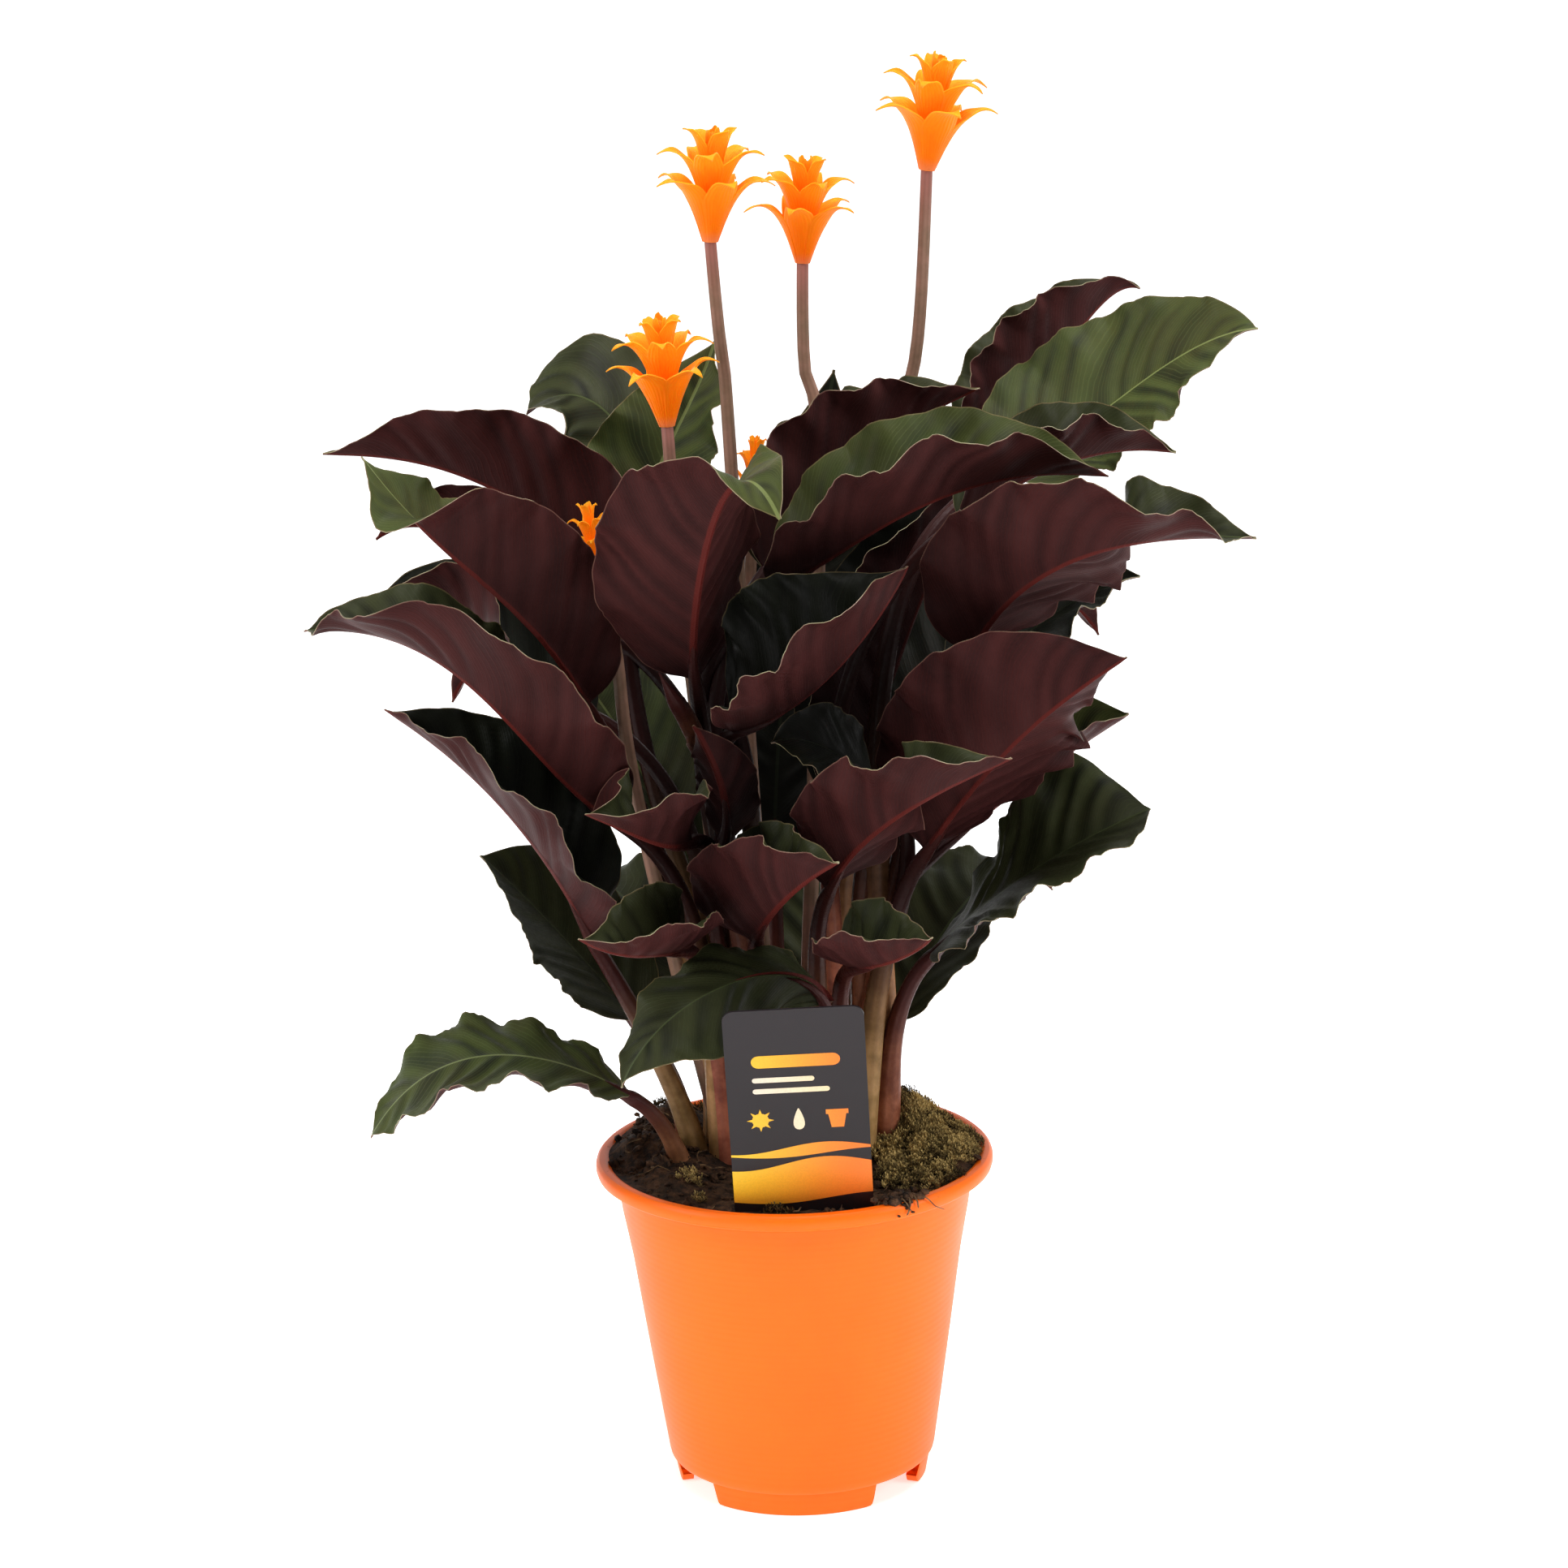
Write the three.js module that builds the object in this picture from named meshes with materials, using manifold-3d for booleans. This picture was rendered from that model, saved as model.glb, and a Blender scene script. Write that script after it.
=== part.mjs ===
// An eternal flame calathea (Calathea crocata) in its 14 cm nursery pot.
// Millimetres, +Z up, the plant's front towards -Y. The origin is the middle of the pot's footprint,
// on the surface that it stands on.

import * as THREE from "three";
import Module from "manifold-3d";
import { mergeVertices } from "three/addons/utils/BufferGeometryUtils.js";

const wasm = await Module();
wasm.setup();

// ---------------------------------------------------------------- driving dimensions

const GAP = 0.3; // clearance between pieces that touch
const SIDES = 32; // facets round the pot and the soil

const POT = {
  height: 120,
  lipRadius: 70, // the rolled lip, outside
  lipHeight: 6,
  topRadius: 62.8, // the wall under the lip
  bandRadius: 60.1, // the foot of the stacking band
  bandDepth: 16,
  baseRadius: 47.3, // the foot of the wall
  wall: 1.3,
  floorHeight: 8,
};

const FEET = {
  topRadius: 45.8,
  bottomRadius: 44.2,
  thickness: 2,
  gapAngles: [35.5, 144.5, 215.5, 324.5], // between the wide front and back feet and the side ones
  gapWidth: 31, // degrees
  turn: -5, // degrees
};

const SLOT = { from: 32, to: 40, width: 7 }; // drain slots through the floor, one to each gap

const SOIL = {
  level: 116,
  mounds: [
    { at: [46, -4], spread: 17, rise: 11 },
    { at: [-40, -12], spread: 19, rise: 7 },
    { at: [2, 16], spread: 32, rise: 8 },
  ],
};

const LABEL = {
  width: 47.5,
  showing: 82, // above the soil
  shoulder: 14, // below the soil, before it narrows
  buried: 38,
  corner: 4,
  thickness: 0.8,
  foot: [3, -53, 115.7], // the middle of the label where it enters the soil
  lean: 17.2, // degrees towards the front
  roll: 1.6,
};

// The rootstock, all below the soil: its ends, each with a height and two radii.
const CROWN = { centre: [-2, 5], ends: [[82, 26, 18], [108, 41, 31]], top: 119, sides: 12 };

const STALK = {
  footHeight: 100, // where each stalk's curve starts, inside the rootstock
  root: 10, // its straight end below that
  lean: [0.1, 0.35], // the curve's handles, as shares of the way out and of the stalk's length
  baseRadius: 2.8,
  radiusPerWidth: 1 / 40, // a broad leaf has a stouter stalk
  tipRadius: 2.2,
  sides: 5,
  step: 40, // length of one facet along the stalk
  fewestSteps: 3,
};

const FLOWER_STALK = { baseRadius: 3.2, tipRadius: 2.3 };

const SHOOT = {
  // a young leaf, still rolled, beside the front stalk
  path: [[-28, -13, 266], [-31, -25, 280], [-36, -36, 293], [-41, -40, 304]],
  radii: [2.4, 3.4, 2.9, 0.6],
};

const BLADE = {
  thickness: 0.8,
  neck: 2.2, // half the width where the stalk meets the blade
  tip: 0.6,
  keelAtNeck: 1.9, // how far the midrib stands out below the blade
  keelAtTip: 0.2,
  step: 11, // length of one facet along the blade
  fewestSteps: 6,
  mostSteps: 11,
  columns: [-1, -0.5, 0, 0.5, 1],
};

// One entry for each leaf. The rib passes through four evenly spaced points. The face is the compass
// direction that the leaf points in, in degrees from +X. Left and right, seen looking out along the
// leaf, are the angles that each half is lifted by, at even stations from stalk to tip, and the curl
// is how much further each half turns up by its margin. The wave is its height, how many there are
// and where they start. Wide is how far along the leaf is broadest, and the foot is where its stalk
// enters the rootstock.
const LEAVES = [
  {
    name: "leaf_left_long", rib: [[-45, 12, 320], [-86, 20, 350], [-120, 22, 365], [-155, 18, 370]],
    face: 180, width: 64, left: [80, 76, 66, 60], right: [0, 0, 0, 0], curl: [10, 0],
    wave: [2.6, 4, 0.1], wide: 0.42, foot: [-20, 14],
  },
  {
    name: "leaf_left_back", rib: [[-64, 40, 302], [-95, 46, 322], [-119, 46, 337], [-140, 40, 335]],
    face: 180, width: 54, left: [70, 74, 70], right: [0, 0, 0], curl: [15, 0],
    wave: [2.4, 4, 0.3], wide: 0.44, foot: [-24, 22],
  },
  {
    name: "leaf_left_broad", rib: [[-66, -15, 288], [-87, -38, 324], [-111, -50, 351], [-136, -48, 381]],
    face: 190, width: 70, left: [82, 86, 88, 88, 86, 70, -50, -65],
    right: [8, 8, 8, 10, 15, 30, 45, 60], curl: [10, 0],
    wave: [2.8, 5, 0.6], wide: 0.44, foot: [-20, -2],
  },
  {
    name: "leaf_left_dark", rib: [[-65, 18, 276], [-90, 18, 297], [-112, 14, 316], [-137, 6, 322]],
    face: 180, width: 54, left: [0, 0, 10, 75, 70], right: [45, 45, 50, 50, 50],
    wave: [2.4, 4, 0.2], wide: 0.42, foot: [-26, 6],
  },
  {
    name: "leaf_left_low", rib: [[-57, -22, 248], [-84, -42, 280], [-114, -42, 310], [-162, -4, 313]],
    face: 182, width: 64, left: [72, 60, 48, 25, 12], right: [32, 28, 25, 50, 75], curl: [10, 0],
    wave: [3.2, 5, 0.2], wide: 0.42, foot: [-24, -8],
  },
  {
    name: "leaf_left_lower", rib: [[-68, -14, 206], [-84, -28, 240], [-106, -28, 267], [-135, -18, 288]],
    face: 180, width: 62, left: [44, 28, 28, 34], right: [62, 62, 66, 75],
    wave: [2.8, 4, 0.4], wide: 0.42, foot: [-30, -4],
  },
  {
    name: "leaf_left_shaded", rib: [[-54, 10, 166], [-71, 20, 184], [-90, 22, 206], [-107, 16, 226]],
    face: 180, width: 64, left: [-20, -12, -8, 0], right: [45, 45, 45, 45],
    wave: [2.6, 4, 0.0], wide: 0.5, foot: [-34, 4],
  },
  {
    name: "leaf_bottom_left", rib: [[-57, -25, 151], [-85, -32, 166], [-117, -34, 166], [-146, -30, 139]],
    face: 180, width: 50, left: [-25, -25, -30, -45], right: [15, 15, 18, 18], curl: [45, 0],
    wave: [2.6, 5, 0.2], wide: 0.62, foot: [-36, -12],
  },
  {
    name: "leaf_bottom_front", rib: [[13, -39, 185], [-5, -52, 200], [-34, -64, 194], [-57, -80, 171]],
    face: 195, width: 50, left: [-105, -98, -68, -25], right: [8, 12, 14, 12],
    wave: [2.4, 4, 0.2], wide: 0.45, foot: [14, -12],
  },
  {
    name: "leaf_front_upright", rib: [[-29, -30, 299], [-26, -56, 337], [-15, -84, 373], [1, -102, 367]],
    face: 270, width: 74, left: [50, 60, 60, 20], right: [10, 15, 20, 20],
    wave: [3.0, 4, 0.4], wide: 0.42, foot: [-12, -2],
  },
  {
    name: "leaf_back_upright", rib: [[-52, 45, 321], [-44, 54, 348], [-31, 62, 373], [-20, 68, 397]],
    face: 90, width: 52, left: [6, 10, 15, 15], right: [38, 44, 50, 50],
    wave: [2.8, 4, 0.1], wide: 0.34, foot: [-10, 18],
  },
  {
    name: "leaf_back_left_high", rib: [[-45, 74, 344], [-58, 84, 368], [-73, 87, 376], [-88, 84, 370]],
    face: 150, width: 58, left: [-20, -20, -20, -20], right: [32, 34, 36, 36],
    wave: [2.0, 4, 0.2], wide: 0.62, foot: [-16, 24],
  },
  {
    name: "leaf_upper_centre", rib: [[-5, 8, 328], [15, 20, 350], [40, 28, 369], [71, 26, 385]],
    face: 0, width: 62, left: [82, 56, 44, 40], right: [76, 74, 66, 58],
    wave: [3.0, 5, 0.2], wide: 0.42, foot: [-2, 8],
  },
  {
    name: "leaf_centre_right", rib: [[-1, -15, 326], [31, -28, 347], [66, -34, 363], [111, -30, 364]],
    face: 0, width: 66, left: [66, 68, 68, 66], right: [50, 46, 48, 54],
    wave: [3.4, 5, 0.0], wide: 0.42, foot: [2, 0],
  },
  {
    name: "leaf_top_right", rib: [[78, 30, 353], [108, 46, 367], [138, 43, 389], [166, 20, 404]],
    face: 8, width: 74, left: [48, 48, 40, 25], right: [-12, -12, -14, -10],
    wave: [2.2, 5, 0.1], wide: 0.34, foot: [33, 10],
  },
  {
    name: "leaf_behind_top", rib: [[72, 70, 349], [95, 79, 377], [115, 84, 402], [131, 84, 409]],
    face: 8, width: 62, left: [55, 50, 40, 30], right: [72, 70, 66, 60], curl: [10, 0],
    wave: [2.6, 5, 0.3], wide: 0.42, foot: [14, 24],
  },
  {
    name: "leaf_right_dark", rib: [[62, -6, 346], [90, -2, 361], [115, 0, 367], [136, -2, 366]],
    face: 0, width: 46, left: [62, 66, 68, 64], right: [50, 50, 50, 55],
    wave: [2.8, 4, 0.3], wide: 0.45, foot: [18, 6],
  },
  {
    name: "leaf_right_big", rib: [[64, -20, 302], [86, -48, 334], [118, -62, 348], [158, -52, 346]],
    face: 345, width: 72, left: [-32, -32, -30, 62, 85], right: [85, 84, 74, 36, 0],
    wave: [3.2, 6, 0.2], wide: 0.32, foot: [20, -6],
  },
  {
    name: "leaf_right_middle", rib: [[61, 12, 283], [86, 18, 300], [107, 20, 313], [125, 18, 319]],
    face: 0, width: 60, left: [50, 50, 48, 45], right: [0, 0, 0, 0],
    wave: [2.6, 4, 0.2], wide: 0.45, foot: [26, 4],
  },
  {
    name: "leaf_right_lower", rib: [[48, -22, 235], [68, -52, 269], [88, -62, 291], [115, -52, 307]],
    face: 340, width: 86, left: [-28, -28, -26, -20], right: [85, 86, 84, 80], curl: [10, 0],
    wave: [3.0, 6, 0.5], wide: 0.5, foot: [22, -10],
  },
  {
    name: "leaf_right_behind", rib: [[52, 14, 224], [78, 22, 241], [101, 25, 256], [121, 23, 269]],
    face: 0, width: 72, left: [74, 64, 52, 45], right: [30, 32, 30, 26],
    wave: [2.0, 4, 0.2], wide: 0.56, foot: [28, 2],
  },
  {
    name: "leaf_right_low", rib: [[50, -8, 194], [74, -20, 218], [99, -24, 235], [125, -20, 246]],
    face: 350, width: 70, left: [0, 22, 55, 58], right: [-5, -3, -3, 0],
    wave: [3.2, 5, 0.1], wide: 0.78, foot: [32, -4],
  },
  {
    name: "leaf_front_right", rib: [[14, -36, 226], [28, -64, 251], [49, -80, 269], [75, -78, 280]],
    face: 330, width: 58, left: [-20, -10, 20, 80, 85], right: [80, 80, 72, 44, 25],
    wave: [3.4, 5, 0.2], wide: 0.42, foot: [14, -8],
  },
  {
    name: "leaf_front_small", rib: [[-11, -28, 206], [-6, -51, 221], [4, -74, 237], [17, -92, 250]],
    face: 300, width: 66, left: [88, 86, 80, 70], right: [42, 55, 62, 60],
    wave: [2.6, 4, 0.2], wide: 0.3, foot: [-2, -14],
  },
  {
    name: "leaf_centre_small", rib: [[-33, -30, 242], [-42, -50, 247], [-53, -66, 256], [-66, -70, 263]],
    face: 200, width: 56, left: [80, 75, 60, 30], right: [0, 0, 50, 80],
    wave: [2.4, 3, 0.2], wide: 0.42, foot: [-18, -6],
  },
  {
    name: "leaf_centre_young", rib: [[-21, -26, 241], [-20, -34, 256], [-24, -39, 272], [-30, -41, 285]],
    face: 260, width: 28, left: [40, 40, 40, 40], right: [40, 42, 45, 50],
    wave: [1.2, 3, 0.2], wide: 0.42, foot: [-10, -6],
  },
  {
    name: "leaf_low_curled", rib: [[-36, -30, 204], [-45, -56, 210], [-56, -78, 217], [-69, -90, 226]],
    face: 215, width: 52, left: [45, 45, 45, 40], right: [90, 86, 70, 60],
    wave: [1.6, 3, 0.2], wide: 0.36, foot: [-22, -10],
  },
  {
    name: "leaf_right_curled", rib: [[22, -50, 202], [31, -74, 210], [40, -90, 218], [47, -100, 226]],
    face: 330, width: 48, left: [95, 84, 70, 60], right: [40, 45, 50, 50],
    wave: [1.4, 3, 0.2], wide: 0.36, foot: [20, -16],
  },
  {
    name: "leaf_centre_dark", rib: [[-16, -28, 280], [10, -42, 296], [30, -50, 319], [43, -48, 339]],
    face: 355, width: 86, left: [88, 88, 85, 70], right: [28, 30, 32, 34],
    wave: [3.0, 4, 0.2], wide: 0.45, foot: [-4, -4], lean: [0.1, 0.12],
  },
  {
    name: "leaf_centre_tip", rib: [[30, -22, 261], [18, -30, 271], [7, -34, 277], [-4, -36, 277]],
    face: 190, width: 38, left: [-30, -30, -30, -30], right: [50, 50, 50, 50],
    wave: [1.4, 3, 0.2], wide: 0.45, foot: [8, -4],
  },
  {
    name: "leaf_centre_back", rib: [[22, 12, 240], [37, 20, 282], [54, 28, 322], [72, 30, 356]],
    face: 10, width: 70, left: [70, 70, 70, 65], right: [72, 72, 66, 58],
    wave: [2.0, 4, 0.3], wide: 0.45, foot: [8, 6],
  },
  {
    name: "leaf_back_left", rib: [[-36, 30, 212], [-66, 64, 270], [-96, 88, 286], [-120, 98, 262]],
    face: 140, width: 58, left: [20, 20, 20, 20], right: [20, 20, 20, 20],
    wave: [2.2, 4, 0.3], wide: 0.45, foot: [-20, 20],
  },
  {
    name: "leaf_back_centre", rib: [[-4, 58, 215], [2, 74, 280], [12, 84, 335], [22, 90, 382]],
    face: 90, width: 60, left: [14, 14, 14, 14], right: [14, 14, 14, 14],
    wave: [2.0, 4, 0.5], wide: 0.45, foot: [-4, 24],
  },
  {
    name: "leaf_back_right", rib: [[43, 49, 236], [68, 75, 288], [94, 92, 300], [116, 100, 280]],
    face: 40, width: 54, left: [20, 20, 20, 20], right: [20, 20, 20, 20],
    wave: [2.2, 4, 0.1], wide: 0.45, foot: [16, 20],
  },
  {
    name: "leaf_back_right_low", rib: [[38, 28, 158], [62, 56, 190], [82, 82, 196], [98, 100, 184]],
    face: 50, width: 54, left: [18, 18, 18, 18], right: [18, 18, 18, 18],
    wave: [2.0, 4, 0.4], wide: 0.45, foot: [24, 20],
  },
  {
    name: "leaf_back_left_low", rib: [[-34, 36, 158], [-52, 62, 188], [-70, 84, 196], [-84, 100, 182]],
    face: 125, width: 50, left: [18, 18, 18, 18], right: [18, 18, 18, 18],
    wave: [2.0, 4, 0.2], wide: 0.45, foot: [-28, 14],
  },
  {
    name: "leaf_back_low", rib: [[11, 57, 156], [14, 74, 188], [16, 90, 198], [18, 104, 184]],
    face: 86, width: 44, left: [18, 18, 18, 18], right: [18, 18, 18, 18],
    wave: [2.0, 4, 0.0], wide: 0.45, foot: [10, 28],
  },
];

// One entry for each flower head, from the end of its stalk to its tip, with the two points that the
// stalk passes on its way up. A small one has only just opened.
const FLOWERS = [
  { name: "bloom_front_tall", base: [-20, 28, 438], tip: [-18, 28, 477], path: [[-15, 32, 353], [-17, 32, 397]],
    foot: [-6, 10], spin: 8 },
  { name: "bloom_middle", base: [11.5, 54, 426], tip: [13.5, 54, 463], path: [[15, 44, 343], [13, 52, 382]],
    foot: [2, 8], spin: 40 },
  { name: "bloom_highest", base: [55.5, 62, 456], tip: [61, 62, 496], path: [[38, 60, 333], [49, 64, 384]],
    foot: [10, 16], spin: 0 },
  { name: "bloom_left", base: [-36, -10, 381.5], tip: [-37.5, -10, 419], path: [[-34, 2, 330], [-36, -6, 360]],
    foot: [-14, 0], spin: 25 },
  { name: "bloom_small_left", base: [-61, -14, 330], tip: [-64, -14, 357], path: [[-50, -4, 246], [-55, -12, 294]],
    foot: [-20, 6], spin: 60, small: true },
  { name: "bloom_small_back", base: [-9, 52, 336], tip: [-6, 52, 366], path: [[-13, 30, 236], [-12, 44, 291]],
    foot: [-4, 14], spin: 15, small: true },
];

// A flower head 39 mm tall. Its tiers of bracts are grown together into a funnel below, and stand
// out to points above. Each tier is given by radius and height: the neck that it leaves from, the
// bend under it, its points and its valleys.
const BLOOM = {
  height: 39,
  stem: [[2.4, 0], [4.6, 8]],
  tiers: [
    { neck: [7.4, 14], bend: [12, 19.6], point: [22, 19], valley: [9.4, 18], turn: 0 },
    { neck: [6.6, 22], bend: [11, 28.4], point: [18, 29.5], valley: [7.8, 26.5], turn: 0.5 },
    { neck: [4.2, 30], bend: [5.8, 34.6], point: [9, 37.4], valley: [4.6, 34], turn: 0 },
  ],
  apex: 39,
  points: 5,
  shares: [1, 0.42, 0, 0.42], // how far each column stands out, from one point to the next
  smallShares: [1, 0],
  thickness: 1.2, // of a bract at its bend
  smallRadius: 0.55, // a small bloom is this much narrower
};

const COLOURS = {
  pot: { color: 0xff822d, roughness: 0.42 },
  soil: { color: 0x3b2d1c, roughness: 0.95 },
  label: { color: 0x45393d, roughness: 0.35 },
  stems: { color: 0x7f5a48, roughness: 0.55 },
  leaf: { color: 0x4a2a2e, roughness: 0.5 },
  bloom: { color: 0xff9614, roughness: 0.55 },
};

// ---------------------------------------------------------------- solids

const UP = new THREE.Vector3(0, 0, 1);

function toSolid(geometry) {
  const bare = geometry.clone();
  bare.deleteAttribute("normal");
  bare.deleteAttribute("uv");
  const merged = mergeVertices(bare, 1e-4);
  const vertProperties = merged.attributes.position.array;
  const triVerts = Uint32Array.from(merged.index.array);
  return new wasm.Manifold(new wasm.Mesh({ numProp: 3, vertProperties, triVerts }));
}

function toGeometry(solid) {
  const { vertProperties, triVerts } = solid.getMesh();
  const geometry = new THREE.BufferGeometry();
  geometry.setAttribute("position", new THREE.BufferAttribute(vertProperties, 3));
  geometry.setIndex(new THREE.BufferAttribute(triVerts, 1));
  return geometry;
}

function join(geometries) {
  return geometries.map(toSolid).reduce((whole, solid) => whole.add(solid));
}

function largestBody(solid) {
  const bodies = solid.decompose();
  return bodies.reduce((largest, body) => (body.volume() > largest.volume() ? body : largest));
}

function fromPoints(points, faces) {
  const geometry = new THREE.BufferGeometry().setFromPoints(points);
  geometry.setIndex(faces.flat());
  return geometry;
}

// A profile of radius and height, turned round the Z axis.
function turned(profile, sides = SIDES) {
  const points = profile.map(([radius, height]) => new THREE.Vector2(radius, height));
  return new THREE.LatheGeometry(points, sides).rotateX(Math.PI / 2);
}

// Rings of points, each the same number round, skinned and closed with a flat end.
function skin(rings) {
  const sides = rings[0].length;
  const last = (rings.length - 1) * sides;
  const faces = [];
  for (let start = 0; start < last; start += sides) {
    for (let side = 0; side < sides; side += 1) {
      const a = start + side;
      const b = start + ((side + 1) % sides);
      faces.push([a, b, b + sides], [a, b + sides, a + sides]);
    }
  }
  for (let side = 1; side < sides - 1; side += 1) {
    faces.push([0, side + 1, side], [last, last + side, last + side + 1]);
  }
  return fromPoints(rings.flat(), faces);
}

// The rings of a round bar along a curve, each with a radius of its own.
function barRings(curve, radii) {
  const steps = radii.length - 1;
  const frames = curve.computeFrenetFrames(steps, false);
  return radii.map((radius, ring) => {
    const centre = curve.getPointAt(ring / steps);
    return Array.from({ length: STALK.sides }, (_, side) => {
      const angle = (side / STALK.sides) * 2 * Math.PI;
      const point = centre.clone().addScaledVector(frames.normals[ring], radius * Math.cos(angle));
      return point.addScaledVector(frames.binormals[ring], radius * Math.sin(angle));
    });
  });
}

// A thin sheet given by a surface of two values, along (0 to 1) and across (-1 to 1), with the same
// triangles above and below. The keel is how far its middle stands out below.
function sheet(surface, rows, columns, thickness, keel) {
  const step = 0.004;
  const over = [];
  const under = [];
  for (const along of rows) {
    for (const across of columns) {
      const ahead = surface(Math.min(along + step, 1), across);
      ahead.sub(surface(Math.max(along - step, 0), across));
      const aside = surface(along, Math.min(across + step, 1));
      aside.sub(surface(along, Math.max(across - step, -1)));
      const normal = ahead.cross(aside).normalize();
      const middle = surface(along, across);
      const depth = thickness / 2 + (across === 0 ? keel(along) : 0);
      over.push(middle.clone().addScaledVector(normal, thickness / 2));
      under.push(middle.clone().addScaledVector(normal, -depth));
    }
  }
  const wide = columns.length;
  const below = over.length;
  const faces = [];
  for (let row = 0; row < rows.length - 1; row += 1) {
    for (let column = 0; column < wide - 1; column += 1) {
      const a = row * wide + column;
      const b = a + wide;
      faces.push([a, b, b + 1], [a, b + 1, a + 1]);
      faces.push([a + below, b + 1 + below, b + below], [a + below, a + 1 + below, b + 1 + below]);
    }
    const right = row * wide;
    const left = right + wide - 1;
    faces.push([left, left + wide, left + wide + below], [left, left + wide + below, left + below]);
    faces.push([right, right + wide + below, right + wide], [right, right + below, right + wide + below]);
  }
  const end = (rows.length - 1) * wide;
  for (let column = 0; column < wide - 1; column += 1) {
    const near = column;
    const far = end + column;
    faces.push([near, near + 1, near + 1 + below], [near, near + 1 + below, near + below]);
    faces.push([far, far + 1 + below, far + 1], [far, far + below, far + 1 + below]);
  }
  return fromPoints([...over, ...under], faces);
}

// ---------------------------------------------------------------- pot

function pot() {
  const underLip = POT.height - POT.lipHeight;
  const bandFoot = underLip - POT.bandDepth;
  const floorTop = POT.floorHeight + POT.wall;
  const body = turned([
    [0, POT.floorHeight],
    [FEET.topRadius, POT.floorHeight],
    [POT.baseRadius - 1, POT.floorHeight + 1],
    [POT.baseRadius, POT.floorHeight + 3],
    [POT.bandRadius, bandFoot],
    [POT.topRadius, underLip - 0.8],
    [POT.topRadius + 1.4, underLip + 0.9],
    [POT.lipRadius - 1.6, underLip],
    [POT.lipRadius - 0.2, underLip + 1],
    [POT.lipRadius, underLip + 3.4],
    [POT.lipRadius - 1, POT.height - 0.6],
    [POT.lipRadius - 2.6, POT.height],
    [POT.lipRadius - 5, POT.height - 0.8],
    [POT.topRadius - 0.4, POT.height - 3.2],
    [POT.topRadius - POT.wall, underLip - 0.8],
    [POT.bandRadius - POT.wall, bandFoot],
    [POT.baseRadius - POT.wall, POT.floorHeight + 3],
    [POT.baseRadius - 3, floorTop],
    [0, floorTop],
  ]);
  const skirt = turned([
    [FEET.bottomRadius - FEET.thickness, 0],
    [FEET.bottomRadius, 0],
    [FEET.topRadius, floorTop - 0.5],
    [FEET.topRadius - FEET.thickness, floorTop - 0.5],
    [FEET.bottomRadius - FEET.thickness, 0],
  ]);
  let feet = toSolid(skirt);
  let whole = toSolid(body);
  for (const angle of FEET.gapAngles) {
    const middle = THREE.MathUtils.degToRad(angle + FEET.turn);
    const half = THREE.MathUtils.degToRad(FEET.gapWidth / 2);
    const reach = POT.lipRadius;
    const sector = new THREE.Shape([
      new THREE.Vector2(0, 0),
      new THREE.Vector2(reach * Math.cos(middle - half), reach * Math.sin(middle - half)),
      new THREE.Vector2(reach * Math.cos(middle + half), reach * Math.sin(middle + half)),
    ]);
    const gap = new THREE.ExtrudeGeometry(sector, { depth: POT.floorHeight + 1, bevelEnabled: false });
    feet = feet.subtract(toSolid(gap.translate(0, 0, -1)));
    const slot = new THREE.BoxGeometry(SLOT.to - SLOT.from, SLOT.width, 4 * POT.wall);
    slot.translate((SLOT.from + SLOT.to) / 2, 0, POT.floorHeight);
    whole = whole.subtract(toSolid(slot.rotateZ(middle)));
  }
  return toGeometry(whole.add(feet));
}

// ---------------------------------------------------------------- leaves

// The cubic that passes through four points at even steps.
class Spine extends THREE.Curve {
  constructor(points) {
    super();
    this.knots = points.map((point) => new THREE.Vector3(...point));
  }

  getPoint(t, target = new THREE.Vector3()) {
    const stations = [0, 1, 2, 3];
    target.set(0, 0, 0);
    for (const own of stations) {
      const others = stations.filter((station) => station !== own);
      const weight = others.reduce((product, other) => (product * (3 * t - other)) / (own - other), 1);
      target.addScaledVector(this.knots[own], weight);
    }
    return target;
  }
}

// The value at a place from 0 to 1 between evenly spaced ones, with a smooth step from each to the next.
function between(values, place) {
  const scaled = place * (values.length - 1);
  const low = Math.min(Math.floor(scaled), values.length - 2);
  const share = THREE.MathUtils.smoothstep(scaled - low, 0, 1);
  return THREE.MathUtils.lerp(values[low], values[low + 1], share);
}

// Half the width of a leaf, as a share of its broadest: round towards the stalk, pointed at the tip.
function outline(along, wide) {
  if (along < wide) {
    return Math.sqrt(1 - ((wide - along) / wide) ** 2);
  }
  const past = (along - wide) / (1 - wide);
  return (1 - past ** 2.2) ** 1.15;
}

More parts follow.
